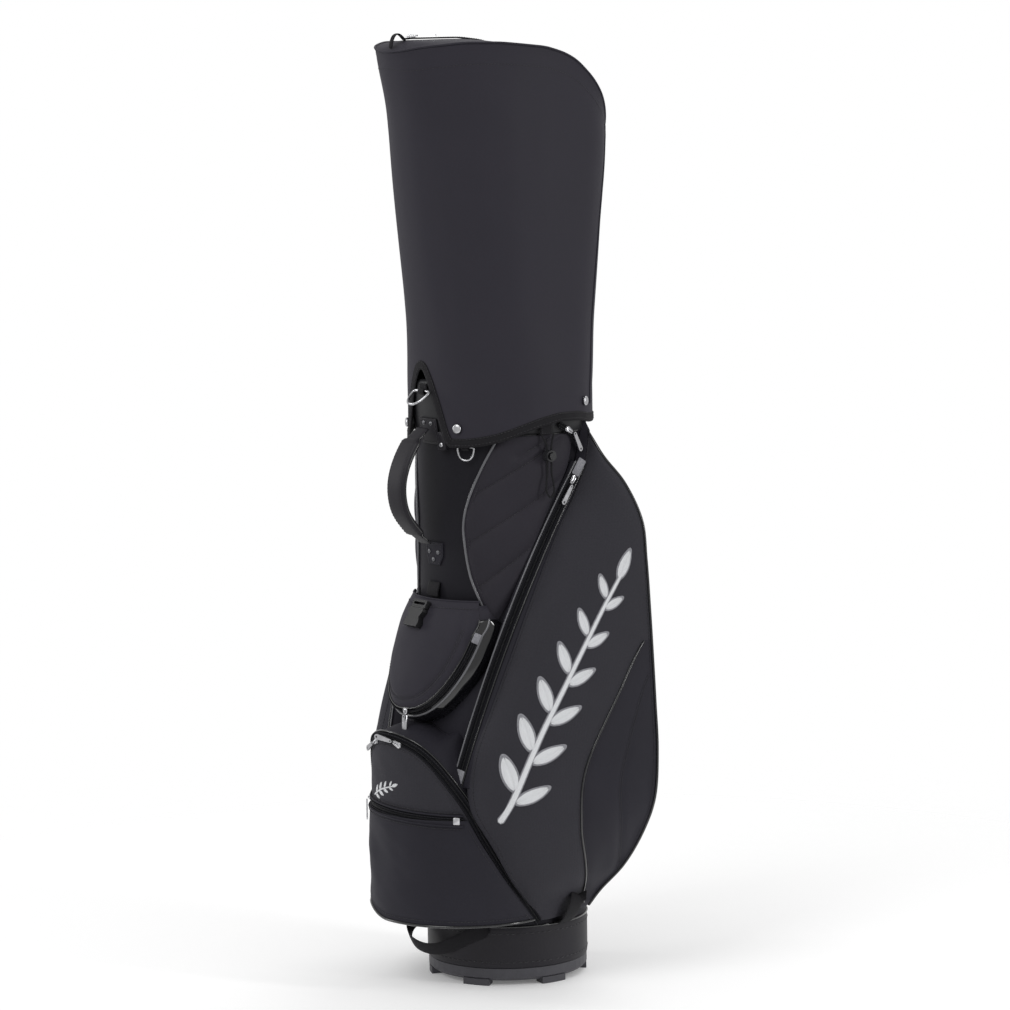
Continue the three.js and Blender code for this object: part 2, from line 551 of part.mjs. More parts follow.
function frontZipPiece(geometry, radius, z) {
  geometry.rotateX(Math.PI / 2).rotateZ((FRONT_ZIP_HEADING + 90) * DEG);
  const spot = polar(radius, FRONT_ZIP_HEADING, z);
  return geometry.translate(spot.x, spot.y + BALL_CENTRE_Y, z);
}
add('front_zip_slider', 'nickel', frontZipPiece(box(11, 7.5, 3.4), FRONT_ZIP_RADIUS + 0.8, FRONT_POCKET_TOP + 5.2));
add('front_zip_pull', 'nickel', frontZipPiece(pullTab(26), FRONT_ZIP_RADIUS + 6, FRONT_POCKET_TOP + 4));

// ---- valuables pouch ----
const pouchHalf = z => POUCH_HALF_WIDTH * Math.pow(1 - Math.pow(THREE.MathUtils.clamp((POUCH_TOP - 14 - z)
  / (POUCH_TOP - 14 - POUCH_BOTTOM), 0, 1), 2.4), 1 / 2.4) - 20 * THREE.MathUtils.smoothstep(z, 484, POUCH_TOP);
const POUCH_CENTRE = new THREE.CatmullRomCurve3([v3(0, -66, POUCH_BOTTOM), v3(0, -65, 402), v3(0, -60, 430),
  v3(0, -43, 485), v3(0, -20, POUCH_TOP + 4)]);
function pouchFace(x, z, radius) {
  const share = THREE.MathUtils.clamp((z - POUCH_BOTTOM) / (POUCH_TOP + 4 - POUCH_BOTTOM), 0, 1);
  let low = 0, high = 1;
  for (let k = 0; k < 24; k++) {
    const middle = (low + high) / 2;
    if (POUCH_CENTRE.getPoint(middle).z < POUCH_BOTTOM + share * (POUCH_TOP + 4 - POUCH_BOTTOM)) low = middle;
    else high = middle;
  }
  return POUCH_CENTRE.getPoint(low).y - Math.sqrt(Math.max(radius * radius - x * x, 0));
}
add('pouch_lid', 'fabric', panel((u, v) => {
  const z = lerp(POUCH_BOTTOM + 2, POUCH_TOP, Math.pow(v, 1.6));
  const x = (pouchHalf(z) - 0.5) * Math.sin((u - 0.5) * Math.PI * 0.96);
  return v3(x, pouchFace(x, z, POUCH_RADIUS), z);
}, 12, 10, -SKIN));
function pouchLoop(u) {
  const turn = lerp(0, Math.PI, u);
  const power = 2 / 2.4;
  const z = POUCH_TOP - 14 - Math.pow(Math.sin(turn), power) * (POUCH_TOP - 14 - POUCH_BOTTOM - 4);
  const fall = 20 * THREE.MathUtils.smoothstep(z, 484, POUCH_TOP);
  const half = Math.pow(Math.abs(Math.cos(turn)), power) * (POUCH_HALF_WIDTH - 4) - fall;
  return [-Math.sign(Math.cos(turn)) * Math.max(half, 0), z];
}
add('pouch_gusset', 'patent', panel((u, v) => {
  const [x, z] = pouchLoop(u);
  const radius = (z < PANEL_TOP ? panelRadius(z) : tubeRadius(z) + 1.5) + SKIN + 2;
  const back = -Math.sqrt(radius * radius - x * x);
  const face = pouchFace(x, z, POUCH_RADIUS - SKIN - 1.4);
  return v3(x, lerp(Math.min(face, back - 1), back, v), z);
}, 22, 1, SKIN));

const POUCH_ZIP = arcThrough(v3(4, -169, 373.5), v3(72, -140, 398), v3(96, -92, 470));
const pouchOut = p => v3(p.x, p.y + 62, 0).normalize();
const pouchSpot = POUCH_ZIP.point(0.03);
const pouchHeading = Math.atan2(pouchOut(pouchSpot).y, pouchOut(pouchSpot).x) + Math.PI / 2;
const onPouch = (geometry, drop, lift) => geometry.rotateX(Math.PI / 2).rotateZ(pouchHeading)
  .translate(pouchSpot.x, pouchSpot.y - lift, pouchSpot.z - drop);
add('pouch_zip_slider', 'nickel', onPouch(box(9, 5, 3.4), 0, 0));
add('pouch_zip_pull', 'nickel', onPouch(pullTab(23), 5.2, 3));

// Side-release buckle: the clip and its webbing stay put on the lid, the body slides off downwards.
const BUCKLE_TILT = Math.atan2(21.6, 40);
function onLid(geometry, drop, lift) {
  return geometry.rotateX(Math.PI / 2 - BUCKLE_TILT)
    .translate(0, -123.4 - Math.sin(BUCKLE_TILT) * drop - Math.cos(BUCKLE_TILT) * lift,
      POUCH_TOP + 2 - Math.cos(BUCKLE_TILT) * drop + Math.sin(BUCKLE_TILT) * lift);
}
function buckleBody() {
  const outline = new THREE.Shape();
  outline.moveTo(-14, -26).lineTo(14, -26).lineTo(16, -20).lineTo(12.5, -12).lineTo(16, -4).lineTo(15, 0);
  outline.lineTo(-15, 0).lineTo(-16, -4).lineTo(-12.5, -12).lineTo(-16, -20);
  const body = solid(new THREE.ExtrudeGeometry(outline, { depth: 9, bevelEnabled: false }));
  const mouth = box(23, 22, 4.4, 0.4).translate(0, -9, 2.3);
  return geometryOf(body.subtract(solid(mouth)));
}
function buckleClip() {
  const outline = new THREE.Shape();
  outline.moveTo(-15, 0.8).lineTo(15, 0.8).lineTo(15.5, 12).lineTo(-15.5, 12);
  const slot = new THREE.Path();
  slot.moveTo(-12, 5).lineTo(12, 5).lineTo(12, 8.5).lineTo(-12, 8.5);
  outline.holes.push(slot);
  const frame = solid(new THREE.ExtrudeGeometry(outline, { depth: 7, bevelEnabled: false }));
  const prong = side => {
    const arm = new THREE.Shape();
    arm.moveTo(side * 6, 1.5).lineTo(side * 9.6, 1.5).lineTo(side * 10.6, -13).lineTo(side * 6.6, -17);
    if (side < 0) arm.curves.reverse();
    return solid(new THREE.ExtrudeGeometry(arm, { depth: 3, bevelEnabled: false }).translate(0, 0, 3));
  };
  const tongue = box(4, 16, 3, 0.4).translate(0, -6, 3);
  return geometryOf(frame.add(prong(1)).add(prong(-1)).add(solid(tongue)));
}
const BUCKLE_DROP = 20, BUCKLE_LIFT = 1.4;
add('buckle_clip', 'plastic', onLid(buckleClip(), BUCKLE_DROP, BUCKLE_LIFT));
add('buckle_body', 'plastic', onLid(buckleBody(), BUCKLE_DROP, BUCKLE_LIFT));
add('buckle_webbing', 'webbing', panel((u, v) => {
  const z = lerp(562, POUCH_TOP + 6, v);
  const x = (u - 0.5) * 25;
  return v3(x, -Math.sqrt((tubeRadius(z) + 1) ** 2 - x * x), z);
}, 4, 2, -2));

// ---- carry handle ----
const HANDLE_WIDTH = 38;
const GRIP_PATH = [v3(0, -128, 750), v3(0, -147, 733), v3(0, -166, 700), v3(0, -172, 671), v3(0, -166, 640),
  v3(0, -144, 611), v3(0, -127, 596)];
add('handle_grip', 'leather', strap(GRIP_PATH, HANDLE_WIDTH, 9, 14, v3(1, 0, 0)));
function handleStrap(low, high, radiusAt, rivets) {
  const place = (u, v) => {
    const z = lerp(high, low, v);
    const x = (u - 0.5) * HANDLE_WIDTH;
    return v3(x, -Math.sqrt(radiusAt(z) ** 2 - x * x), z);
  };
  let piece = solid(panel(place, 4, 2, -2));
  for (const [x, z] of rivets) {
    const y = -Math.sqrt((radiusAt(z) + 2) ** 2 - x * x);
    piece = piece.add(solid(new THREE.CylinderGeometry(2.4, 3.2, 2.6, 10).rotateX(Math.PI).translate(x, y - 0.8, z)));
  }
  return geometryOf(piece);
}
const cuffReach = z => lerp(TUBE_RADIUS_HIGH + 0.8, 118.4, (z - 728) / (762 - 728));
add('handle_strap_upper', 'leather', handleStrap(728, 762, cuffReach, [[-8, 756], [8, 756]]));
add('handle_strap_lower', 'leather', handleStrap(566, 596, z => tubeRadius(z) + 0.8, [[-10, 583], [0, 573], [10, 583]]));

// ---- rings ----
function tab(heading, low, high, width, radius) {
  const half = width / 2 / radius / DEG;
  return panel((u, v) => polar(radius, heading + lerp(-half, half, u), lerp(high, low, v)), 3, 2, -2);
}
const BIG_RING = { heading: -90, z: 799, radius: 14, wire: 1.6, tilt: 50 };
const SMALL_RING = { heading: -59, z: 727, radius: 10, wire: 1.3, tilt: 0 };
function ring(spec, reach) {
  const torus = new THREE.TorusGeometry(spec.radius, spec.wire, 6, 20).rotateX(Math.PI / 2);
  const spot = polar(reach, spec.heading, spec.z);
  torus.translate(0, 0, -spec.radius).rotateX(-spec.tilt * DEG);
  return torus.rotateZ((spec.heading + 90) * DEG).translate(spot.x, spot.y, spot.z);
}
add('ring_tab_large', 'webbing', tab(BIG_RING.heading, 801, 808, 15, 124.2));
add('ring_large', 'nickel', ring(BIG_RING, 126.6));
add('ring_tab_small', 'webbing', tab(SMALL_RING.heading, 729.5, 741, 12, 118));
add('ring_small', 'nickel', ring(SMALL_RING, 118));

// ---- towel loop: a tab, an elastic cord and its lock ----
const TOWEL_HEADING = -6;
add('towel_tab', 'webbing', tab(TOWEL_HEADING, 743, 764, 18, 119.8));
const CORD_LEG = 1.5;                // half-distance between the two legs, in degrees of heading
const cordAt = (radius, off, z) => polar(radius, -5 + off, z);
const CORD_POINTS = [cordAt(121, -4.4, 741.5), cordAt(122.6, -2.6, 733), cordAt(124, -CORD_LEG, 726),
  cordAt(124, -CORD_LEG, 714), cordAt(124, -CORD_LEG, 702), cordAt(124, -CORD_LEG, 690), cordAt(125, -2.6, 676),
  cordAt(126, -2.4, 665), cordAt(126.4, 0, 659), cordAt(126, 2.4, 665), cordAt(125, 2.6, 676),
  cordAt(124, CORD_LEG, 690), cordAt(124, CORD_LEG, 702), cordAt(124, CORD_LEG, 714), cordAt(124, CORD_LEG, 726),
  cordAt(122.6, 2.6, 733), cordAt(121, 4.4, 741.5)];
const CORD_DIAMETER = 2.6;
function cordTube(diameter) {
  const section = new THREE.Shape();
  section.absarc(0, 0, diameter / 2, 0, 2 * Math.PI, false);
  const path = new THREE.CatmullRomCurve3(CORD_POINTS, false, 'centripetal');
  return new THREE.ExtrudeGeometry(section, { steps: 48, curveSegments: 4, bevelEnabled: false, extrudePath: path });
}
add('towel_cord', 'webbing', cordTube(CORD_DIAMETER));
const LOCK_Z = 714, LOCK_HEADING = -5;
function lockDrum(radius, from, to) {
  const drum = new THREE.CylinderGeometry(radius, radius, to - from, 24).rotateZ(-Math.PI / 2);
  return drum.translate((from + to) / 2, 0, LOCK_Z).rotateZ(LOCK_HEADING * DEG);
}
const lockBody = solid(lockDrum(7.5, 119.5, 130)).subtract(solid(lockDrum(5.2, 126.6, 131)));
add('cord_lock', 'plastic', geometryOf(lockBody.subtract(solid(cordTube(CORD_DIAMETER + 1)))));
add('cord_lock_button', 'plastic', lockDrum(4.7, 129, 133.5));

// ---- webbing loops at the base ----
add('base_loop_front', 'webbing', strap([polar(110.6, -124, 76), polar(128, -120, 70), polar(137, -112, 60),
  polar(137, -103, 50), polar(130, -94, 45), polar(122.5, -84, 47), polar(116.5, -73, 57), polar(112.8, -62, 68),
  polar(111, -53, 76)], 20, 2, 20, Z_AXIS));
// A folded pull tab that stands on the band's edge, outside the side pocket.
add('base_loop_side', 'webbing', strap([polar(110.6, 4, 82.8), polar(119, 4.5, 84), polar(127, 5.5, 92),
  polar(132.5, 6.5, 104), polar(134.5, 8, 114), polar(133, 10, 120.5), polar(130.5, 11, 115)], 15, 1.8, 16,
v3(-Math.sin(8 * DEG), Math.cos(8 * DEG), 0)));

// ---- snap caps on the hood ----
for (const [name, heading, z] of [['front_right', 27, 752], ['rear_right', 118, 781], ['front_left', -27, 752],
  ['rear_left', -118, 781]]) {
  const cap = new THREE.CylinderGeometry(5, 6.5, 2.4, 20).translate(0, HOOD_RADIUS + 3, 0);
  add(`hood_snap_${name}`, 'nickel', cap.rotateZ(Math.PI).rotateZ(heading * DEG).translate(0, 0, z));
}

export { SIDE_ZIP, UPPER_ZIP, BALL_ZIP, POUCH_ZIP };
export default bag;
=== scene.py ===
"""Golf staff bag with a rain hood: the looks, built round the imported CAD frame.

Lengths are in millimetres until a mesh is made, then metres. +Z is up, the tube's axis is
x = y = 0, the front is -Y, and the big visible side pocket is on +X.
"""
import math

import bpy
import numpy as np
from mathutils import Matrix, Vector
from mathutils.bvhtree import BVHTree


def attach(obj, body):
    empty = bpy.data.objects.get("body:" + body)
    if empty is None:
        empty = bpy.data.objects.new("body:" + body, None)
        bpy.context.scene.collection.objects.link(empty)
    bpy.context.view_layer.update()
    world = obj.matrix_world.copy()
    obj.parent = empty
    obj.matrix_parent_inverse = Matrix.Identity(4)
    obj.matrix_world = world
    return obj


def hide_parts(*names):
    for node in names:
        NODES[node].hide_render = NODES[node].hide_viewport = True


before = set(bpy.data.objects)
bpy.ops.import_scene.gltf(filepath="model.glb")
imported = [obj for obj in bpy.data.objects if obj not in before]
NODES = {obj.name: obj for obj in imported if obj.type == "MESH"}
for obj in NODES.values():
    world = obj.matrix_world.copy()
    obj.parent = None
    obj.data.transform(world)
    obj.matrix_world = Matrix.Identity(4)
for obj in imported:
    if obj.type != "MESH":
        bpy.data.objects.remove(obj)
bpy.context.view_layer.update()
MM = 0.001
DEG = math.pi / 180


# ---------------------------------------------------------------- camera
def make_camera():
    azimuth, elevation, roll = 54 * DEG, 7.2 * DEG, 0.8 * DEG
    distance, mm_per_px, frame_px, sensor = 5.55, 1.345, 1010, 36
    aim = Vector((0, 0, 0.640))
    centre_px = (501.5, 502.0)
    back = Vector((math.sin(azimuth) * math.cos(elevation),
                   -math.cos(azimuth) * math.cos(elevation), math.sin(elevation)))
    data = bpy.data.cameras.new("camera")
    data.sensor_width = sensor
    data.lens = sensor * distance / (mm_per_px * MM) / frame_px
    data.shift_x = (frame_px / 2 - centre_px[0]) / frame_px
    data.shift_y = (centre_px[1] - frame_px / 2) / frame_px
    data.clip_start, data.clip_end = 0.05, 50
    camera = bpy.data.objects.new("camera", data)
    bpy.context.scene.collection.objects.link(camera)
    turn = (-back).to_track_quat("-Z", "Y").to_matrix() @ Matrix.Rotation(-roll, 3, "Z")
    camera.matrix_world = Matrix.Translation(aim + back * distance) @ turn.to_4x4()
    bpy.context.scene.camera = camera


make_camera()


# ---------------------------------------------------------------- curves and grids
def vec(*numbers):
    return np.array(numbers, float)


def lerp(a, b, t):
    return a + (b - a) * t


def smooth(x, low, high):
    t = np.clip((x - low) / (high - low), 0, 1)
    return t * t * (3 - 2 * t)


def unit(v):
    v = np.asarray(v, float)
    return v / np.maximum(np.linalg.norm(v, axis=-1, keepdims=True), 1e-12)


UP, FLAT, FORWARD = vec(0, 0, 1), vec(1, 1, 0), vec(0, -1, 0)
BOTH_SIDES = (("right", 1), ("left", -1))


def radial(path):
    """The level direction away from the tube's axis."""
    return unit(path * FLAT)


def polar(radius, degrees, z):
    return vec(radius * math.cos(degrees * DEG), radius * math.sin(degrees * DEG), z)


def bearing(point):
    """The point's polar angle in degrees from +X."""
    return math.degrees(math.atan2(point[1], point[0]))


class Spline:
    """A centripetal Catmull-Rom curve through the points, read at t from 0 to 1."""

    def __init__(self, points, closed=False):
        self.p = np.array(points, float)
        self.closed = closed

    def __call__(self, t):
        t = np.asarray(t, float)
        p, n = self.p, len(self.p)
        x = np.clip(t, 0, 1) * (n if self.closed else n - 1)
        i = np.minimum(np.floor(x).astype(int), (n - 1) if self.closed else n - 2)
        w = (x - i)[..., None]
        if self.closed:
            p0, p1, p2, p3 = (p[(i + k) % n] for k in (-1, 0, 1, 2))
        else:
            q = np.vstack([2 * p[0] - p[1], p, 2 * p[-1] - p[-2]])
            p0, p1, p2, p3 = (q[i + k] for k in (0, 1, 2, 3))
        gap = lambda a, b: np.maximum(np.sum((a - b) ** 2, -1, keepdims=True) ** 0.25, 1e-4)
        d0, d1, d2 = gap(p0, p1), gap(p1, p2), gap(p2, p3)
        m1 = ((p1 - p0) / d0 - (p2 - p0) / (d0 + d1) + (p2 - p1) / d1) * d1
        m2 = ((p2 - p1) / d1 - (p3 - p1) / (d1 + d2) + (p3 - p2) / d2) * d1
        return (p1 + m1 * w + (-3 * p1 + 3 * p2 - 2 * m1 - m2) * w ** 2
                + (2 * p1 - 2 * p2 + m1 + m2) * w ** 3)


def run_of(path):
    """How far along the path each of its points is."""
    return np.concatenate([[0], np.cumsum(np.linalg.norm(np.diff(path, axis=0), axis=1))])


def even(path, step):
    """The path with points about `step` apart."""
    path = np.asarray(path, float)
    run = run_of(path)
    at = np.linspace(0, run[-1], max(2, int(round(run[-1] / step)) + 1))
    return np.stack([np.interp(at, run, column) for column in path.T], 1)


def spline(points, step, closed=False):
    fine = Spline(points, closed)(np.linspace(0, 1, 40 * len(points)))
    return even(fine, step)


def waves(points, size, seed, count=14):
    """Smooth seeded unevenness in about -1 to 1 at each point; `size` is its length in mm."""
    rng = np.random.default_rng(seed)
    way = unit(rng.normal(size=(count, 3))) * rng.uniform(0.6, 1.6, (count, 1))
    phase = rng.uniform(0, 2 * math.pi, count)
    return np.sin(points @ way.T * (2 * math.pi / size) + phase).sum(-1) / math.sqrt(count * 2)


def grid_normals(P, closed=False):
    """The grid's unit normals; a point where the grid shrinks to nothing takes its neighbour's."""
    if closed:
        du = np.roll(P, -1, 1) - np.roll(P, 1, 1)
    else:
        du = np.gradient(P, axis=1)
    n = np.cross(du, np.gradient(P, axis=0))
    length = np.linalg.norm(n, axis=2, keepdims=True)
    n = n / np.maximum(length, 1e-12)
    rows, cols = P.shape[:2]
    for j, i in zip(*np.nonzero(length[..., 0] < 1e-9)):
        n[j, i] = n[min(max(j, 1), rows - 2), min(max(i, 1), cols - 2)]
    return n


def strips(rows, cols, round_rows=False, round_cols=False):
    """The faces of a grid of points, row by row. A round grid closes on itself."""
    faces = []
    for j in range(rows if round_rows else rows - 1):
        a, b = j * cols, (j + 1) % rows * cols
        for i in range(cols if round_cols else cols - 1):
            k = (i + 1) % cols
            faces.append((a + i, a + k, b + k, b + i))
    return faces


def stack(rows, cols):
    """The faces of a stack of rings with flat ends."""
    last = (rows - 1) * cols
    return strips(rows, cols, False, True) + [tuple(range(cols))[::-1], tuple(range(last, last + cols))]


# ---------------------------------------------------------------- meshes
MATERIALS = {}


def make(name, verts, faces, body, material, replaces, uv, tags=None):
    """A mesh object from points in mm. material is a name, or a list that tags picks from face by face."""
    mesh = bpy.data.meshes.new(name)
    mesh.from_pydata((np.asarray(verts, float) * MM).tolist(), [], faces)
    names = [material] if isinstance(material, str) else material
    for m in names:
        mesh.materials.append(MATERIALS[m])
    if tags is not None:
        mesh.polygons.foreach_set("material_index", np.asarray(tags, np.int32))
    mesh.polygons.foreach_set("use_smooth", np.ones(len(mesh.polygons), bool))
    layer = mesh.uv_layers.new(name="uv")
    loops = np.zeros(len(mesh.loops), np.int32)
    mesh.loops.foreach_get("vertex_index", loops)
    layer.data.foreach_set("uv", (np.asarray(uv, float)[loops] * MM).astype(np.float32).ravel())
    mesh.validate()
    mesh.update()
    piece = bpy.data.objects.new(name, mesh)
    bpy.context.scene.collection.objects.link(piece)
    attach(piece, body)
    if replaces:
        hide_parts(*([replaces] if isinstance(replaces, str) else replaces))
    return piece


def flat_uv(P):
    """Lengths along the grid's rows and columns, in mm."""
    du = np.linalg.norm(np.diff(P, axis=1), axis=2)
    dv = np.linalg.norm(np.diff(P, axis=0), axis=2)
    u = np.concatenate([np.zeros((len(P), 1)), np.cumsum(du, 1)], 1)
    u = u - u.mean(1, keepdims=True)
    v = np.concatenate([[0], np.cumsum(dv.mean(1))])
    return np.stack([u, np.repeat(v[:, None], P.shape[1], 1)], 2)


def shell(P, thickness):
    """Vertices, faces and uv of a sheet with two sides and a rim.

    The outer side is P, which faces du x dv. The inner side lies `thickness` behind."""
    rows, cols = P.shape[:2]
    total, last = rows * cols, (rows - 1) * cols
    inner = P - grid_normals(P) * thickness
    faces = []
    for a, b, c, d in strips(rows, cols):
        faces += [(a, b, c, d), (total + a, total + d, total + c, total + b)]
    for i in range(cols - 1):
        faces.append((i, total + i, total + i + 1, i + 1))
        faces.append((last + i, last + i + 1, total + last + i + 1, total + last + i))
    for a in range(0, last, cols):
        b, c, d = a + cols, a + cols - 1, a + 2 * cols - 1
        faces += [(a, b, total + b, total + a), (c, total + c, total + d, d)]
    uv = flat_uv(P).reshape(-1, 2)
    return np.concatenate([P.reshape(-1, 3), inner.reshape(-1, 3)]), faces, np.concatenate([uv, uv])


def sheet(name, P, thickness, body, material, replaces=(), at=None, facing=None, tag=None):
    """A piece made from a grid of points. At the point `at` its outer side is the one that looks
    along `facing`, or away from the tube's axis."""
    if at is not None:
        if facing is None:
            facing = P[at] * FLAT
        if grid_normals(P)[at] @ facing < 0:
            P = P[:, ::-1]
    verts, faces, uv = shell(P, thickness)
    tags = None
    if tag is not None:
        tags = tag(np.array([verts[list(f)].mean(0) for f in faces]))
    return make(name, verts, faces, body, material, replaces, uv, tags)


class Parts:
    """Several simple solids gathered into one mesh."""

    def __init__(self):
        self.verts, self.faces, self.uv = [], [], []
        self.count = 0

    def add(self, verts, faces, uv=None):
        verts = np.asarray(verts, float)
        self.verts.append(verts)
        self.faces += [tuple(i + self.count for i in f) for f in faces]
        self.uv.append(verts[:, :2] if uv is None else np.asarray(uv, float))
        self.count += len(verts)

    def rope(self, path, radius, sides=8, closed=False, flat=1.0, up=None, dome=0.7):
        """A tube along the path; `flat` squeezes it along `up`, which may be one vector a point."""
        path = np.asarray(path, float)
        n = len(path)
        if closed:
            tangent = unit(np.roll(path, -1, 0) - np.roll(path, 1, 0))
        else:
            tangent = unit(np.gradient(path, axis=0))
        radius = np.broadcast_to(np.asarray(radius, float), (n,))
        if up is None:
            side = UP if abs(tangent[0][2]) < 0.9 else vec(1, 0, 0)
            normals = []
            for t in tangent:
                side = unit(side - t * (side @ t))
                normals.append(side)
            normals = np.array(normals)
        else:
            normals = np.broadcast_to(np.asarray(up, float), path.shape)
            normals = unit(normals - tangent * np.sum(normals * tangent, 1, keepdims=True))
        across = np.cross(tangent, normals)
        turn = np.arange(sides) * 2 * math.pi / sides
        ring = lambda k, grow: (path[k] + radius[k] * grow * (
            np.outer(np.sin(turn) * flat, normals[k]) + np.outer(np.cos(turn), across[k])))
        rings = [ring(k, 1) for k in range(n)]
        if not closed:
            rings.insert(0, ring(0, 0.55) - tangent[0] * radius[0] * dome)
            rings.append(ring(n - 1, 0.55) + tangent[-1] * radius[-1] * dome)
        verts = np.concatenate(rings)
        count = len(rings)
        faces = strips(count, sides, True, True) if closed else stack(count, sides)
        uv = np.stack([np.tile(turn * radius.mean(), count), np.repeat(run_of(verts[::sides]), sides)], 1)
        self.add(verts, faces, uv)
        return self

    def stitches(self, path, normals, length=3.2, gap=1.6, radius=0.42, lift=0.15):
        """A row of sewn stitches along the path, standing a little proud along the normals."""
        both = np.concatenate([np.asarray(path, float), np.asarray(normals, float)], 1)
        run = run_of(both[:, :3])
        rise = np.array([[lift - radius * 0.9], [lift + radius * 0.35], [lift - radius * 0.9]])
        start = 0.0
        while start + length < run[-1]:
            spots = np.array([[np.interp(d, run, column) for column in both.T]
                              for d in (start, start + length / 2, start + length)])
            self.rope(spots[:, :3] + spots[:, 3:] * rise, radius, 5, up=spots[1, 3:], dome=0.2)
            start += length + gap
        return self

    def prism(self, outline, low, high, place, bevel=0.4):
        """An outline of (x, y) given height from low to high, with bevelled edges, then placed."""
        o = np.asarray(outline, float)
        t = unit(np.roll(o, -1, 0) - np.roll(o, 1, 0))
        inward = np.stack([-t[:, 1], t[:, 0]], 1)
        area = np.sum(o[:, 0] * np.roll(o[:, 1], -1) - np.roll(o[:, 0], -1) * o[:, 1])
        if area < 0:
            inward = -inward
        levels = ((low, bevel), (low + bevel, 0), (high - bevel, 0), (high, bevel))
        rings = [np.concatenate([o + inward * cut, np.full((len(o), 1), z)], 1) for z, cut in levels]
        self.add(place(np.concatenate(rings)), stack(len(rings), len(o)))
        return self

    def build(self, name, body, material, replaces=(), slot=None):
        return make(name, np.concatenate(self.verts), self.faces, body, material, replaces,
                    np.concatenate(self.uv))


def round_section(section, cut, steps=3):
    """The closed section with its corners rounded."""
    s = np.asarray(section, float)
    out = []
    for i, p in enumerate(s):
        a, b = s[i - 1] - p, s[(i + 1) % len(s)] - p
        la, lb = np.linalg.norm(a), np.linalg.norm(b)
        c = min(cut, la * 0.45, lb * 0.45)
        p0, p2 = p + a / la * c, p + b / lb * c
        for t in np.linspace(0, 1, steps):
            out.append(p0 * (1 - t) ** 2 + p * 2 * t * (1 - t) + p2 * t * t)
    return np.array(out)


def turned(name, section, body, material, replaces, cut=0.8, segments=160):
    """A piece turned about the tube's axis from [radius, z] points that run round its section."""
    section = round_section(section, cut)
    turn = np.arange(segments) * 2 * math.pi / segments
    radius = section[:, 0]
    P = np.stack([np.outer(radius, np.cos(turn)), np.outer(radius, np.sin(turn)),
                  np.repeat(section[:, 1:2], segments, 1)], 2)
    verts = P.reshape(-1, 3)
    turn = np.arctan2(verts[:, 1], verts[:, 0])
    uv = np.stack([turn * 110, verts[:, 2] + np.hypot(verts[:, 0], verts[:, 1])], 1)
    return make(name, verts, strips(len(section), segments, True, True), body, material, replaces, uv)


# ---------------------------------------------------------------- materials
class Nodes:
    """A material's node tree, with short calls for the nodes used here."""

    def __init__(self, name):
        self.material = bpy.data.materials.new(name)
        self.material.use_nodes = True
        self.tree = self.material.node_tree
        self.shader = self.tree.nodes["Principled BSDF"]
        self.coords = self.tree.nodes.new("ShaderNodeTexCoord")
        MATERIALS[name] = self.material

    def set(self, **values):
        for key, value in values.items():
            self.shader.inputs[key.replace("_", " ")].default_value = value
        return self

    def link(self, a, b):
        self.tree.links.new(a, b)

    def node(self, kind, **inputs):
        n = self.tree.nodes.new(kind)
        for key, value in inputs.items():
            socket = n.inputs[int(key) if key.isdigit() else key.replace("_", " ")]
            if hasattr(value, "is_linked"):
                self.link(value, socket)
            else:
                socket.default_value = value
        return n

    def noise(self, size, detail=3.0, rough=0.5):
        """Noise with features about `size` metres across."""
        n = self.node("ShaderNodeTexNoise", Vector=self.coords.outputs["Object"], Scale=1 / size,
                      Detail=detail, Roughness=rough)
        return n.outputs["Fac"]

    def math(self, operation, a, b):
        n = self.node("ShaderNodeMath", **{"0": a, "1": b})
        n.operation = operation
        return n.outputs[0]

    def band(self, spacing, direction, distortion=0.0):
        """Parallel bands `spacing` metres apart."""
        n = self.node("ShaderNodeTexWave", Vector=self.coords.outputs["UV"],
                      Scale=2 * math.pi / spacing / 20, Distortion=distortion, Detail=1.0)
        n.bands_direction = direction
        return n.outputs["Fac"]

    def between(self, low, high, factor):
        """A number that goes from low to high as factor goes from 0 to 1."""
        return self.node("ShaderNodeMapRange", Value=factor, **{"3": low, "4": high}).outputs[0]

    def colour(self, dark, light, factor):
        ramp = self.node("ShaderNodeValToRGB", Fac=factor)
        for stop, colour, position in zip(ramp.color_ramp.elements, (dark, light), (0.3, 0.7)):
            stop.color = (*colour, 1)
            stop.position = position
        self.link(ramp.outputs["Color"], self.shader.inputs["Base Color"])

    def bump(self, height, strength, distance):
        n = self.node("ShaderNodeBump", Height=height, Strength=strength, Distance=distance)
        self.link(n.outputs["Normal"], self.shader.inputs["Normal"])

    def rough(self, low, high, factor):
        self.link(self.between(low, high, factor), self.shader.inputs["Roughness"])


def scaled(colour, factor):
    return tuple(c * factor for c in colour)


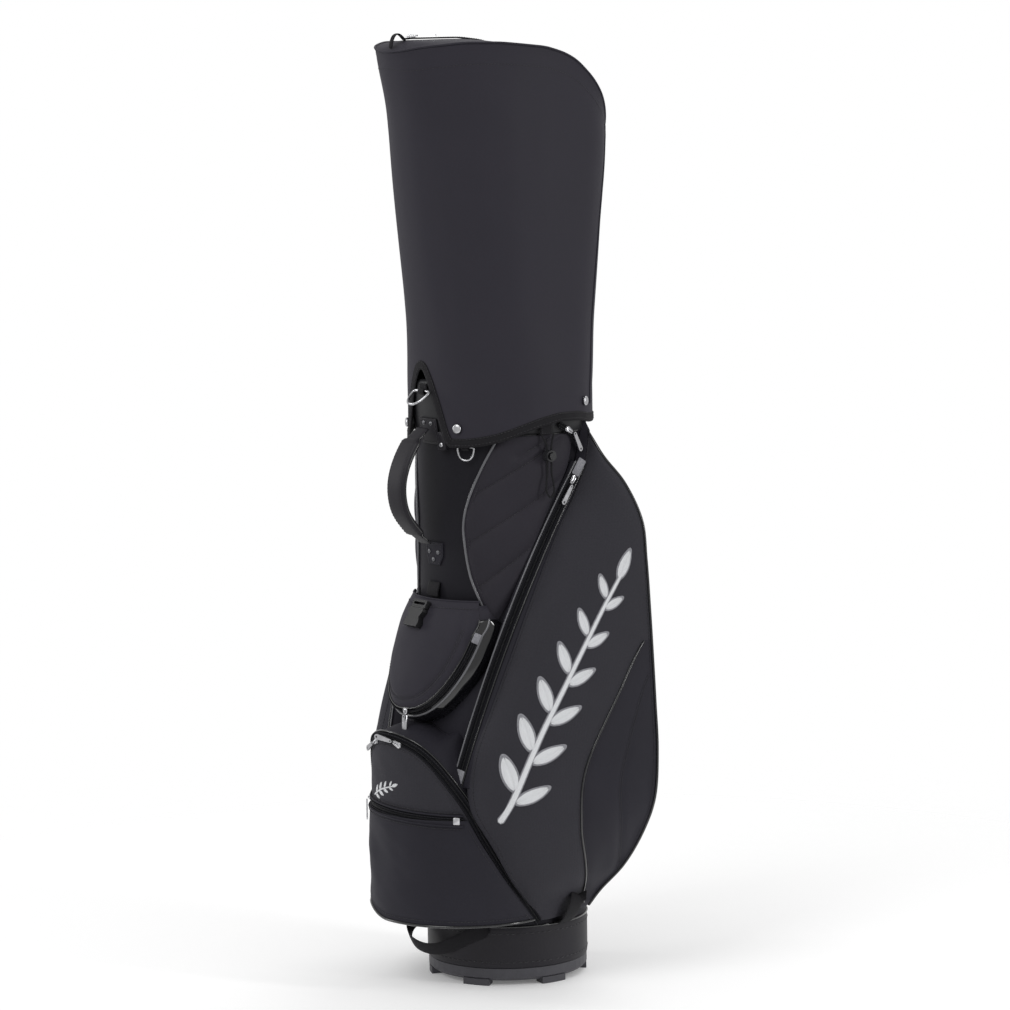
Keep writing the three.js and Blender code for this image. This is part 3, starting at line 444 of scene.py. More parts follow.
def cloth(name, colour, roughness=0.62, thread=0.0009, depth=0.00012, mottle=0.12, sheen=0.035,
          emboss=0.0):
    """Coated woven cloth: a fine plain weave, soft unevenness and a little sheen."""
    m = Nodes(name).set(Sheen_Weight=sheen, Sheen_Roughness=0.45, Specular_IOR_Level=0.16)
    m.shader.inputs["Sheen Tint"].default_value = (0.75, 0.72, 0.85, 1)
    broad = m.noise(0.11, 2)
    fine = m.noise(0.0022, 2)
    m.colour(scaled(colour, 1 - mottle), scaled(colour, 1 + mottle),
             m.math("ADD", m.math("MULTIPLY", broad, 0.6), m.math("MULTIPLY", fine, 0.4)))
    weave = m.math("MULTIPLY", m.band(thread, "X"), m.band(thread, "Y"))
    height = m.math("ADD", weave, m.math("MULTIPLY", fine, 0.7))
    if emboss:
        cells = m.node("ShaderNodeTexVoronoi", Vector=m.coords.outputs["UV"], Scale=1 / emboss,
                       Randomness=0.12)
        dimple = m.math("SMOOTH_MIN", cells.outputs["Distance"], 0.42)
        height = m.math("ADD", height, m.math("MULTIPLY", dimple, 4.0))
    m.bump(height, 0.55, depth)
    m.rough(roughness - 0.06, roughness + 0.08, broad)
    return m


def hide(name, colour, roughness, grain=0.0016, depth=0.00018, coat=0.0, mottle=0.15):
    """Leather or its imitation: rounded grain cells with creases between them."""
    m = Nodes(name).set(Coat_Weight=coat, Coat_Roughness=0.06, Specular_IOR_Level=0.3)
    cells = m.node("ShaderNodeTexVoronoi", Vector=m.coords.outputs["Object"], Scale=1 / grain)
    broad = m.noise(0.05, 3)
    m.colour(scaled(colour, 1 - mottle), scaled(colour, 1 + mottle), broad)
    m.bump(m.math("ADD", cells.outputs["Distance"], m.math("MULTIPLY", m.noise(0.012, 3), 1.5)),
           0.5, depth)
    m.rough(roughness - 0.05, roughness + 0.08, broad)


def moulded(name, colour, roughness, grit=0.0007, depth=0.00005):
    """Moulded plastic with a fine sparked texture and slight wear."""
    m = Nodes(name).set(Specular_IOR_Level=0.3)
    wear = m.noise(0.03, 5, rough=0.65)
    m.colour(scaled(colour, 0.86), scaled(colour, 1.18), wear)
    m.bump(m.noise(grit, 2), 0.4, depth)
    m.rough(roughness - 0.08, roughness + 0.1, wear)


def metal(name, colour, roughness):
    m = Nodes(name).set(Metallic=1.0)
    smudge = m.noise(0.006, 4)
    m.colour(scaled(colour, 0.9), scaled(colour, 1.05), smudge)
    m.bump(m.noise(0.0015, 3), 0.15, 0.00005)
    m.rough(roughness - 0.06, roughness + 0.1, smudge)


def strapping(name, colour, rib=0.0016, roughness=0.7):
    """Woven webbing: ribs across its run, crossed by the warp."""
    m = Nodes(name).set(Sheen_Weight=0.03, Sheen_Roughness=0.5, Specular_IOR_Level=0.18)
    ribs = m.band(rib, "Y")
    warp = m.band(rib * 0.9, "X")
    m.colour(scaled(colour, 0.65), scaled(colour, 1.3), m.math("MULTIPLY", ribs, warp))
    m.bump(m.math("ADD", ribs, m.math("MULTIPLY", warp, 0.6)), 0.8, 0.0003)
    m.rough(roughness - 0.05, roughness + 0.1, m.noise(0.02))


def make_materials():
    cloth("body_cloth", (0.0180, 0.0170, 0.0235))
    cloth("tube_cloth", (0.0090, 0.0085, 0.0120))
    cloth("textured_cloth", (0.0290, 0.0280, 0.0345), roughness=0.66, emboss=0.0042, depth=0.0002)
    cloth("hood_cloth", (0.0265, 0.0245, 0.0330), roughness=0.58, thread=0.0007, mottle=0.08)
    cloth("quilt_cloth", (0.0230, 0.0210, 0.0275), roughness=0.6)
    cloth("lining", (0.030, 0.030, 0.035), roughness=0.8, thread=0.0014)
    tape = cloth("zip_tape", (0.010, 0.010, 0.012), roughness=0.85, thread=0.0007, sheen=0.0)
    tape.set(Specular_IOR_Level=0.03)
    hide("patent", (0.004, 0.004, 0.005), 0.12, grain=0.006, depth=0.00006, coat=1.0, mottle=0.05)
    hide("piping", (0.010, 0.010, 0.011), 0.22, grain=0.0013, depth=0.00005, coat=0.8)
    # This piping material's lighter grey is a painted highlight: it stands in for the thin light lines on
    # glossy black piping and for the streak on the patent band.
    hide("bright_piping", (0.120, 0.120, 0.130), 0.24, grain=0.0013, depth=0.00005, coat=0.6)
    hide("leather", (0.0105, 0.0092, 0.0130), 0.5, grain=0.0014)
    strapping("webbing", (0.0120, 0.0112, 0.0138))
    strapping("cord", (0.013, 0.013, 0.015), rib=0.0011)
    moulded("plastic", (0.016, 0.016, 0.018), 0.42)
    moulded("gloss_plastic", (0.006, 0.006, 0.007), 0.3, depth=0.00002)
    moulded("base_plastic", (0.055, 0.054, 0.062), 0.5)
    metal("nickel", (0.60, 0.60, 0.62), 0.24)
    metal("dark_metal", (0.16, 0.16, 0.17), 0.3)
    thread = Nodes("thread").set(Specular_IOR_Level=0.4, Sheen_Weight=0.1)
    thread.colour((0.010, 0.0095, 0.012), (0.022, 0.021, 0.025), thread.noise(0.004))
    thread.rough(0.5, 0.7, thread.noise(0.003))
    silver = Nodes("silver_thread").set(Sheen_Weight=0.3, Sheen_Roughness=0.3, Specular_IOR_Level=0.6)
    fibre = silver.band(0.0011, "Y", distortion=0.6)
    silver.colour((0.52, 0.53, 0.55), (0.88, 0.89, 0.91), fibre)
    silver.bump(fibre, 0.7, 0.0003)
    silver.rough(0.32, 0.5, silver.noise(0.004))
    # The grey below is the zip garages' own colour. Round the sprig's stem and leaves it is painted shade
    # at the embroidery's edges.
    edge = Nodes("silver_edge").set(Specular_IOR_Level=0.4)
    edge.colour((0.16, 0.16, 0.18), (0.27, 0.27, 0.29), edge.noise(0.002))
    edge.rough(0.5, 0.65, edge.noise(0.004))


make_materials()


def finish_node(name, material, bevel, segments=3):
    """A CAD node that stays: its finish, and edges rounded by a modifier."""
    node = NODES[name]
    node.data.materials.clear()
    node.data.materials.append(MATERIALS[material])
    mod = node.modifiers.new("bevel", "BEVEL")
    mod.width, mod.segments = bevel * MM, segments
    mod.limit_method, mod.angle_limit = "ANGLE", 35 * DEG
    mod.harden_normals = True
    node.data.polygons.foreach_set("use_smooth", np.ones(len(node.data.polygons), bool))


# ---------------------------------------------------------------- base, tube and cuff
LOW, HIGH = 108.0, 112.0       # the tube's radius at its foot and at its top


def tube_radius(z):
    return lerp(LOW, HIGH, np.clip((z - 81) / 660, 0, 1))


def ring_path(radius, z, count):
    turn = np.linspace(0, 360, count, endpoint=False) * DEG
    return np.stack([radius * np.cos(turn), radius * np.sin(turn), np.full(count, float(z))], 1)


def build_tube():
    turned("tube_cloth", [(LOW - 3, 12.5), (LOW - 3, 80.5), (LOW, 80.6), (HIGH, 741), (HIGH, 801),
                          (HIGH - 3, 801), (HIGH - 3, 741), (LOW - 3.2, 84), (LOW - 6, 78),
                          (LOW - 6, 12.5)],
           "bag", "tube_cloth", "tube_shell")
    turned("cuff", [(HIGH + 0.4, 742), (114, 742), (117.5, 760), (119.5, 775), (121.4, 795),
                    (121.4, 808), (119.5, 812), (116.5, 813.5), (113, 812), (111, 808),
                    (111, 801.5), (HIGH + 0.4, 801.5)], "bag", "plastic", "top_cuff", 2.0)
    turned("foot_band", [(LOW - 2.6, 24.2), (LOW + 0.2, 24.2), (LOW + 0.75, 30), (LOW + 0.75, 74),
                         (LOW + 0.3, 80), (LOW - 2.6, 80)], "bag", "leather", "base_band", 1.2)
    trim = Parts()
    for z in (32.5, 71.5):
        path = ring_path(LOW + 0.75, z, 400)
        path = np.vstack([path, path[:1]])
        trim.stitches(path, radial(path), 6.0, 2.6, 0.55)
    trim.build("foot_band_stitches", "bag", "thread", slot="leather")
    edges = Parts()
    edges.rope(ring_path(LOW + 0.5, 80.8, 240), 1.5, 8, closed=True)
    edges.rope(ring_path(HIGH + 1.4, 741.2, 240), 1.5, 8, closed=True)
    edges.build("tube_piping", "bag", "piping", slot="leather")
    finish_node("base_ring", "base_plastic", 1.2)
    finish_node("divider_frame", "plastic", 1.2, 2)
    finish_node("divider_sheets", "lining", 0.3, 1)


build_tube()


# ---------------------------------------------------------------- hood
# The wall's half width at its foot and top, how far back the rim reaches, and how square its back is.
HOOD_RADIUS, HOOD_WIDE, BACK_REACH, RIM_BACK = 124.6, 119.0, 143.0, 2.6
# [height, how far forward the wall is], then the rim and the ridge over it as [y, height].
FRONT_REACH = [(800, 124.6), (860, 125.5), (914, 129.4), (994, 139.3), (1074, 148.9), (1154, 158.2),
               (1194, 164.9), (1243, 176)]
TOP_EDGE = [(-176, 1243), (-172, 1247), (-152, 1252), (-116, 1256.5), (-71, 1256), (-32, 1252),
            (-4, 1249), (25, 1241), (47, 1231), (82, 1205), (108, 1180), (124, 1155), (137, 1128),
            (143, 1100)]
TOP_MIDDLE = [(-176, 1243), (-165, 1252), (-155, 1257), (-146, 1261), (-60, 1261), (-30, 1257.5),
              (0, 1250.5), (25, 1242), (47, 1231.5), (82, 1205), (108, 1180), (124, 1155), (137, 1128),
              (143, 1100)]
# Where the near side seam runs down the wall, as [height, heading from the front].
SIDE_SEAM = [(760, 128), (860, 130), (944, 132), (1043, 137), (1130, 146), (1165, 152)]


def read(table, at, soft=0.0):
    """The table's value, straight between its rows, averaged over `soft` to each side."""
    xs, ys = zip(*table)
    spots = np.linspace(-soft, soft, 9) if soft else [0.0]
    return float(np.mean([np.interp(at + d, xs, ys) for d in spots]))


# The notch in the hem: where its middle is and how far it reaches to each side, as headings from
# the front, and the height of its top and of its lower corners.
NOTCH_MIDDLE, NOTCH_REACH, NOTCH_TOP, NOTCH_FOOT = -3.0, 21.3, 832.0, 728.0
# The hem beside the notch, as [heading from the front, height].
HEM_EDGE = [(0, 728), (30, 728), (40, 730), (54, 736), (65, 744), (79, 754), (93, 760), (110, 759),
            (125, 753), (145, 751), (180, 751)]


def hem_height(heading):
    """The hem's height: a rounded notch a little left of the front, then rising to the back."""
    total = 0.0
    for shift in (-3, -1.5, 0, 1.5, 3):
        off = abs(heading + shift - NOTCH_MIDDLE)
        if off < NOTCH_REACH:
            total += lerp(NOTCH_TOP, NOTCH_FOOT, (off / NOTCH_REACH) ** 1.45)
        else:
            total += read(HEM_EDGE, abs(heading), 4)
    return total / 5


def hood_wall(heading_deg, z):
    """The plain wall's point at a heading from the front and a height."""
    heading = heading_deg * DEG
    share = min(max((z - 800) / 330, 0), 1)
    a = lerp(HOOD_RADIUS, HOOD_WIDE, share)
    c, s = math.cos(heading), math.sin(heading)
    if c >= 0:
        return vec(a * s, -read(FRONT_REACH, z, 30) * c, z)
    power = 2 / lerp(2, RIM_BACK, share)
    back = lerp(HOOD_RADIUS, BACK_REACH, share)
    return vec(a * math.copysign(abs(s) ** power, s), back * (-c) ** power, z)


def hood_rim(heading):
    """Where the wall meets the rim's height, found step by step."""
    z = 1200.0
    for _ in range(30):
        z = lerp(z, read(TOP_EDGE, hood_wall(heading, z)[1], 9), 0.5)
    return hood_wall(heading, z)


def build_hood():
    """The hood's cloth: the wall from the hem to the rim, and the panel over the top."""
    half = np.concatenate([np.linspace(0, 30, 31)[:-1], np.linspace(30, 180, 76)])
    headings = np.concatenate([half, -half[1:-1][::-1]])
    climbs = np.concatenate([np.linspace(0, 0.9, 70)[:-1], np.linspace(0.9, 1, 16)])
    rims = np.array([hood_rim(h) for h in headings])
    hems = [hem_height(h) for h in headings]
    wall = np.array([[hood_wall(h, lerp(hem, rim[2], c)) for h, hem, rim in zip(headings, hems, rims)]
                     for c in climbs])
    wall[-1] = rims
    n = grid_normals(wall, closed=True)
    z = wall[..., 2]
    rim_gap = rims[None, :, 2] - z
    body = smooth(z, 800, 900) * smooth(rim_gap, 4, 90)
    broad = waves(wall * vec(1, 1, 0.4), 210, 11) * 2.3 - 1.2
    ripple = waves(wall * vec(1, 1, 0.3), 64, 12) * 0.5
    edge = smooth(z, 832, 745) * waves(wall * vec(1, 1, 0.25), 34, 13) * 0.3
    pull = np.exp(-(rim_gap / 26) ** 2) * smooth(rim_gap, 0, 9) * waves(wall * vec(1, 1, 0.2), 46, 15) * 0.5
    wall = wall + n * ((broad + ripple) * body + edge + pull - 0.8 * smooth(rim_gap, 0, 12))[..., None]
    # the top panel, ruled from the rim to the middle line
    count, middle = len(headings), len(half) - 1
    reaches = np.linspace(0, 1, 15)[1:]
    base = wall.shape[0] * count
    rim_start = base - count
    rows = []
    for reach in reaches:
        ring = []
        for p in wall[-1]:
            rise = read(TOP_MIDDLE, p[1], 6) - p[2]
            welt = 0.9 * math.exp(-((reach * abs(p[0])) / 6) ** 2)
            ring.append(vec(p[0] * (1 - reach), p[1], p[2] + rise * reach * (2 - reach) - 0.9 + welt))
        rows.append(ring)
    cap = np.array(rows)
    cap[:, [0, middle]] = wall[-1, [0, middle]]
    soft = waves(cap, 90, 16) * 0.8 * smooth(reaches, 0, 0.4)[:, None]
    cap[..., 2] += soft * smooth(cap[..., 1], 150, 20)
    mirror = [0] + [count - i for i in range(1, count)]
    cap[-1] = (cap[-1] + cap[-1][mirror]) / 2
    verts = np.concatenate([wall.reshape(-1, 3), cap.reshape(-1, 3)])

    def cap_index(level, i):
        if level == 0 or i in (0, middle):
            return rim_start + i
        if level == len(reaches) and i > middle:
            i = count - i
        return base + (level - 1) * count + i

    wall_faces = strips(len(wall), count, False, True)
    faces = list(wall_faces)
    for level in range(len(reaches)):
        for i in range(count):
            k = (i + 1) % count
            corners = [cap_index(level + up, at) for up, at in ((0, i), (0, k), (1, k), (1, i))]
            distinct = [c for m, c in enumerate(corners) if c != corners[(m + 1) % 4]]
            if len(distinct) > 2:
                faces.append(tuple(distinct))
    used = sorted({i for f in faces for i in f})
    renumber = {old: new for new, old in enumerate(used)}
    verts, faces = verts[used], [tuple(renumber[i] for i in f) for f in faces]
    turn = np.arctan2(verts[:, 0], -verts[:, 1])
    uv = np.stack([turn * 130, verts[:, 2]], 1)
    hood = make("hood_cloth_shell", verts, faces, "hood", "hood_cloth", "hood_shell", uv)
    skin = hood.modifiers.new("skin", "SOLIDIFY")
    skin.thickness, skin.offset = 1.4 * MM, -1
    tree = BVHTree.FromPolygons([tuple(p) for p in wall.reshape(-1, 3)], wall_faces)
    build_hood_trim(wall, grid_normals(wall, closed=True), headings, tree)


def build_hood_trim(wall, normals, headings, tree):
    """The hem's binding and stitches, the cord round the rim, and the two side seams."""
    hem, out = wall[0], radial(normals[0])
    along = np.cross(out, unit(np.roll(hem, -1, 0) - np.roll(hem, 1, 0)))
    along *= np.sign(along[:, 2:3] + 1e-9)
    binding = Parts().rope(hem + along * 4.2 - out * 0.1, 6.2, 12, closed=True, flat=0.26, up=out)
    binding.build("hood_hem_binding", "hood", "webbing")
    rows = Parts()
    for rise in (1.4, 9.0):
        both = np.hstack([hem + along * rise + out * 1.1, out])
        both = even(np.vstack([both, both[:1]]), 3)
        rows.stitches(both[:, :3], both[:, 3:], 3.4, 1.4, 0.4)
    rows.build("hood_hem_stitches", "hood", "thread", slot="hood_fabric")
    seam = Parts()
    stop = int(np.argmin(np.abs(headings - SIDE_SEAM[-1][1])))
    rim = wall[-1]
    front = lambda ring: np.vstack([ring[-stop:], ring[:stop + 1]])
    arc_out = front(normals[-8])
    seam.rope(front(rim) + arc_out * 0.3 + UP * 0.4, 1.35, 8)
    stitches = Parts()
    for side in (1, -1):
        line, outs = [], []
        end = rim[stop if side > 0 else -stop]
        for z in np.linspace(776, end[2], 60):
            p = hood_wall(side * read(SIDE_SEAM, z, 25), z)
            hit, normal, _, _ = tree.find_nearest(tuple(p))
            line.append(hit)
            outs.append(normal)
        line, outs = np.array(line), np.array(outs)
        outs *= np.sign(np.sum(outs * radial(line), 1))[:, None]
        seam.rope(np.vstack([line + outs * 0.3, end + arc_out[-1] * 0.3]), 1.3, 8)
        stitches.stitches(line - np.cross(outs, UP) * 3.2 * side, outs, 3.0, 1.5, 0.33, 0.1)
    stitches.stitches(front(wall[-9]), front(normals[-9]), 3.0, 1.5, 0.33, 0.1)
    seam.build("hood_piping", "hood", "hood_cloth")
    stitches.build("hood_seam_stitches", "hood", "thread", slot="hood_fabric")


build_hood()


# ---------------------------------------------------------------- zips
class Arc:
    """The circular arc through three points."""

    def __init__(self, a, b, c):
        ab, ac = b - a, c - a
        axis = np.cross(ab, ac)
        offset = np.cross(axis, ab) * (ac @ ac) + np.cross(ac, axis) * (ab @ ab)
        self.centre = a + offset / (2 * axis @ axis)
        self.axis = unit(axis)
        self.start, end = a - self.centre, c - self.centre
        self.sweep = math.atan2(self.axis @ np.cross(self.start, end), self.start @ end)

    def point(self, t):
        turn, k, s = self.sweep * t, self.axis, self.start
        return (self.centre + s * math.cos(turn) + np.cross(k, s) * math.sin(turn)
                + k * (k @ s) * (1 - math.cos(turn)))

    def tangent(self, t):
        return unit(np.cross(self.axis, self.point(t) - self.centre)) * math.copysign(1, self.sweep)

    def path(self, step, low, high):
        return even(np.array([self.point(t) for t in np.linspace(low, high, 90)]), step)


def sweep(parts, path, across, out, profile):
    """A closed profile of (across, out) pairs carried along the path, with flat ends."""
    profile = np.asarray(profile, float)
    n, m = len(path), len(profile)
    verts = path[:, None] + across[:, None] * profile[None, :, :1] + out[:, None] * profile[None, :, 1:]
    uv = np.stack([np.tile(profile[:, 0] + profile[:, 1], n), np.repeat(run_of(path), m)], 1)
    parts.add(verts.reshape(-1, 3), stack(n, m), uv)


def frame_along(path, out):
    """Directions across the path and away from the bag, square to it."""
    tangent = unit(np.gradient(path, axis=0))
    across = unit(np.cross(tangent, out))
    return across, np.cross(across, tangent)


def zip_run(name, path, out, width, body, replaces=()):
    """A closed zip: two tapes with folded edges that leave a slot, the coil in it, and stitching."""
    across, up = frame_along(path, out)
    half, slot = width / 2, 1.9
    tapes = Parts()
    for side in (1, -1):
        edge = [(slot, 0.1), (half, 0.1), (half, 1.0), (half - 0.9, 1.7), (slot + 1.0, 1.9),
                (slot + 0.2, 1.5), (slot, 0.9)]
        sweep(tapes, path, across * side, up, edge if side > 0 else edge[::-1])
    sweep(tapes, path, across, up, [(-slot, 0.0), (-slot, 0.5), (slot, 0.5), (slot, 0.0)])
    tapes.build(name, body, "zip_tape", replaces)
    teeth, rows = Parts(), Parts()
    for row in even(np.hstack([path, across, up]), 1.7):
        p, a, u = row[:3], unit(row[3:6]), unit(row[6:9])
        turn = np.array([p - a * 1.5 + u * 0.75, p + u * 1.15, p + a * 1.5 + u * 0.75])
        teeth.rope(turn, 0.5, 4, up=u, dome=0.1)
    teeth.build(name + "_coil", body, "plastic", slot="zip_tape")
    for side in (1, -1):
        rows.stitches(path + across * side * (half - 1.4) + up * 1.75, up, 2.6, 1.3, 0.28, 0.1)
    rows.build(name + "_stitches", body, "thread")


def arc_slider(node, arc, t, mirror, outward, lift, body, backwards=False):
    """A slider on its arc, with its pull's end down the arc."""
    at = arc.point(t)
    out, down = outward(at), arc.tangent(t)
    if (down[2] > 0) != backwards:
        down = -down
    across = unit(np.cross(out, down))
    out = unit(np.cross(down, across))
    flip = vec(mirror, 1, 1)
    slider_at(node, at * flip, across * flip * mirror, down * flip, out * flip, lift, body)


def placed(at, across, down, out, lift=0.0):
    """A function that puts flat points (across, up the zip, out) where the slider is."""
    return lambda v: at + v[:, :1] * across - v[:, 1:2] * down + (v[:, 2:] + lift) * out


def slider_at(node, at, across, down, out, lift, body, width=8.0, length=13.0):
    """A zip slider: two waisted plates with a core between them, and a bridge that holds the pull."""
    place = placed(at, across, down, out, lift)
    w, h = width / 2, length / 2
    outline = round_section([(-w, h - 2), (-w + 1.6, h), (w - 1.6, h), (w, h - 2), (w * 0.62, -h),
                             (-w * 0.62, -h)], 1.2, 4)
    low = min(1.4, lift - 0.7)
    core = round_section([(-1, -h + 2), (1, -h + 2), (1, h - 1), (-1, h - 1)], 0.4, 3)
    bridge = [(0, h - 2.4, 1.4), (0, h - 3.0, 2.6), (0, h - 4.6, 3.1), (0, -h + 3.6, 3.1),
              (0, -h + 2.0, 2.6), (0, -h + 1.4, 1.4)]
    p = Parts()
    p.prism(outline, 0.1, 1.5, place, 0.35)
    p.prism(outline, -low, -low + 1.1, place, 0.3)
    p.prism(core, -low + 0.2, 0.6, place, 0.1)
    p.rope(place(Spline(bridge)(np.linspace(0, 1, 24))), 1.15, 8, flat=0.5, up=out)
    p.build(node + "_body", body, "nickel", node)


def garage(parts, at, across, down, out, width, length, lift):
    """The stitched tab that covers the end of a zip."""
    w, h = width / 2, length / 2
    outline = round_section([(-w, -h), (w, -h), (w, h), (-w, h)], 1.6, 4)
    parts.prism(outline, lift, lift + 1.3, placed(at, across, down, out), 0.5)


# ---------------------------------------------------------------- side pockets
SIDE_ZIP = Arc(vec(115, 43, 694), vec(112, -52, 528), vec(88, -131, 312))
SIDE_ROWS = [  # front edge, how far it swells, which way the back leans in, back corner
    ((101, 72, 740), (2, 3), (2, -4), (93, 78, 740)),
    ((112, 56, 704), (12, 8), (8, -10), (120.2, 81.6, 708)),
    ((115.5, 37, 668), (22, 10), (14, -24), (146.7, 98.6, 672)),
    ((118, 7, 620), (32, 4), (18, -38), (165.6, 113.3, 622)),
    ((117.5, -19, 572), (42, 0), (20, -50), (170.9, 116.4, 570)),
    ((117.5, -48, 514), (52, -7), (22, -60), (174.4, 118.9, 505)),
    ((114, -76, 450), (66, -11), (24, -70), (178.5, 120.1, 440)),
    ((106, -102, 385), (76, -13), (24, -78), (181.6, 121.4, 380)),
    ((98, -127, 318), (84, -10), (24, -84), (183.9, 122.8, 315)),
    ((103, -136, 258), (88, 2), (22, -84), (180.1, 120.9, 250)),
    ((121, -111, 200), (60, 10), (20, -76), (164.7, 114.2, 205)),
    ((128, -84, 150), (32, 14), (14, -60), (139.4, 99.3, 155)),
    ((120, -48, 110), (10, 12), (8, -36), (112.6, 79, 118)),
    ((114, -28, 90), (10, 10), (13, -24), (100, 67, 97))]
# The accent panel's edge and the seam inside it, as (y, z) on the pocket's outer face.
ACCENT_EDGE = [(97, 462), (87, 452), (44, 390), (2, 321), (-12, 276), (-8, 222), (16, 165), (34, 130),
               (46, 104)]
ACCENT_SEAM = [(104, 415), (93, 398), (59, 315), (50, 269), (62, 213), (74, 180), (92, 140)]


def side_curves():
    """The pocket's front edge, its two Bezier handles, its back corner, and its seat on the tube."""
    front, swell, lean, corner = (np.array(column, float) for column in zip(*SIDE_ROWS))
    shift = lambda edge, by: edge + np.hstack([by, np.zeros((len(by), 1))])
    seats = [polar(tube_radius(z) + 4, min(58, bearing((x, y)) + 22), z) for x, y, z in corner]
    return [Spline(points) for points in (front, shift(front, swell), shift(corner, lean), corner, seats)]


def bezier(points, t):
    """A cubic Bezier curve's points."""
    a, b, c, d = points
    t = np.asarray(t)[:, None]
    return a * (1 - t) ** 3 + 3 * b * t * (1 - t) ** 2 + 3 * c * t * t * (1 - t) + d * t ** 3


def side_surface(vs):
    """Rows of the outer panel and of the gusset behind its piped back edge."""
    curves = side_curves()
    panels, gussets = [], []
    us = np.linspace(0, 1, 76)
    for v in vs:
        a, b, c, d, s = (curve(v) for curve in curves)
        back = unit(d - c)
        inset = d - back * 7.5
        panels.append(bezier((a, b, c - back * 3, inset), us))
        away = unit(np.cross(s - d, UP))
        away = away * math.copysign(1, away @ back)
        gussets.append(bezier((inset, inset + back * 5.4, lerp(d, s, 0.34) + away * 1.2, s),
                              np.linspace(0, 1, 26)))
    return np.array(panels), np.array(gussets)


def inside(polygon, y, z):
    """Which of the points lie inside the polygon of (y, z) corners."""
    hit = np.zeros(len(y), bool)
    p = np.asarray(polygon, float)
    for (y0, z0), (y1, z1) in zip(p, np.roll(p, -1, 0)):
        cross = (z0 > z) != (z1 > z)
        hit ^= cross & (y < (y1 - y0) * (z - z0) / (z1 - z0 + 1e-12) + y0)
    return hit


class Face:
    """A surface that can be met along a line, for laying seams and embroidery on it."""

    def __init__(self, P):
        self.tree = BVHTree.FromPolygons([tuple(p) for p in P.reshape(-1, 3)], strips(*P.shape[:2]))

    def along(self, points, way):
        """Where each point meets the surface going `way`, and the normal there facing back."""
        way = unit(np.asarray(way, float))
        spots, normals = [], []
        for p in points:
            start = np.asarray(p, float) - way * 400
            hit, normal, _, _ = self.tree.ray_cast(tuple(start), tuple(way))
            if hit is None:
                hit, normal, _, _ = self.tree.find_nearest(tuple(p))
            n = np.array(normal)
            spots.append(hit)
            normals.append(-n if n @ way > 0 else n)
        return np.array(spots), unit(smoothed(np.array(normals)))

    def near(self, points):
        """The surface's nearest spot to each point."""
        return np.array([self.tree.find_nearest(tuple(p))[0] for p in points])


def smoothed(rows, times=2):
    rows = np.array(rows, float)
    for _ in range(times):
        if len(rows) > 2:
            rows[1:-1] = (rows[:-2] + rows[1:-1] * 2 + rows[2:]) / 4
    return rows


def side_relief(P):
    """Soft unevenness of the filled pocket: a broad swell, folds at its low end, puckers at seams."""
    y, z = P[..., 1], P[..., 2]
    field = waves(P * vec(1, 1, 0.7), 190, 21) * 1.6
    field = field + waves(P @ np.array([[1, 0, 0], [0, 0.8, 0.6], [0, -0.2, 0.35]]).T, 60, 22) * 0.5
    seam = polyline_distance(P[..., 1:], ACCENT_SEAM)
    rim = polyline_distance(P[..., 1:], ACCENT_EDGE)
    field = field - 2.2 * np.exp(-(seam / 7) ** 2) - 1.6 * np.exp(-(rim / 9) ** 2)
    accent = inside(ACCENT_EDGE + [(200, 104), (200, 462)], y.ravel(), z.ravel()).reshape(y.shape)
    folds = np.sin((z * 0.55 + y * 0.9) / 11 + waves(P, 120, 23)) * 0.7
    return field + folds * smooth(seam, 0, 20) * smooth(z, 330, 250) * accent


def polyline_distance(points, line):
    """Distance of each point of (..., 2) from the polyline."""
    line = Spline([(a, b, 0) for a, b in line])(np.linspace(0, 1, 60))[:, :2]
    best = np.full(points.shape[:-1], 1e9)
    for a, b in zip(line[:-1], line[1:]):
        d = b - a
        t = np.clip(((points - a) @ d) / (d @ d + 1e-9), 0, 1)
        best = np.minimum(best, np.linalg.norm(points - a - t[..., None] * d, axis=-1))
    return best


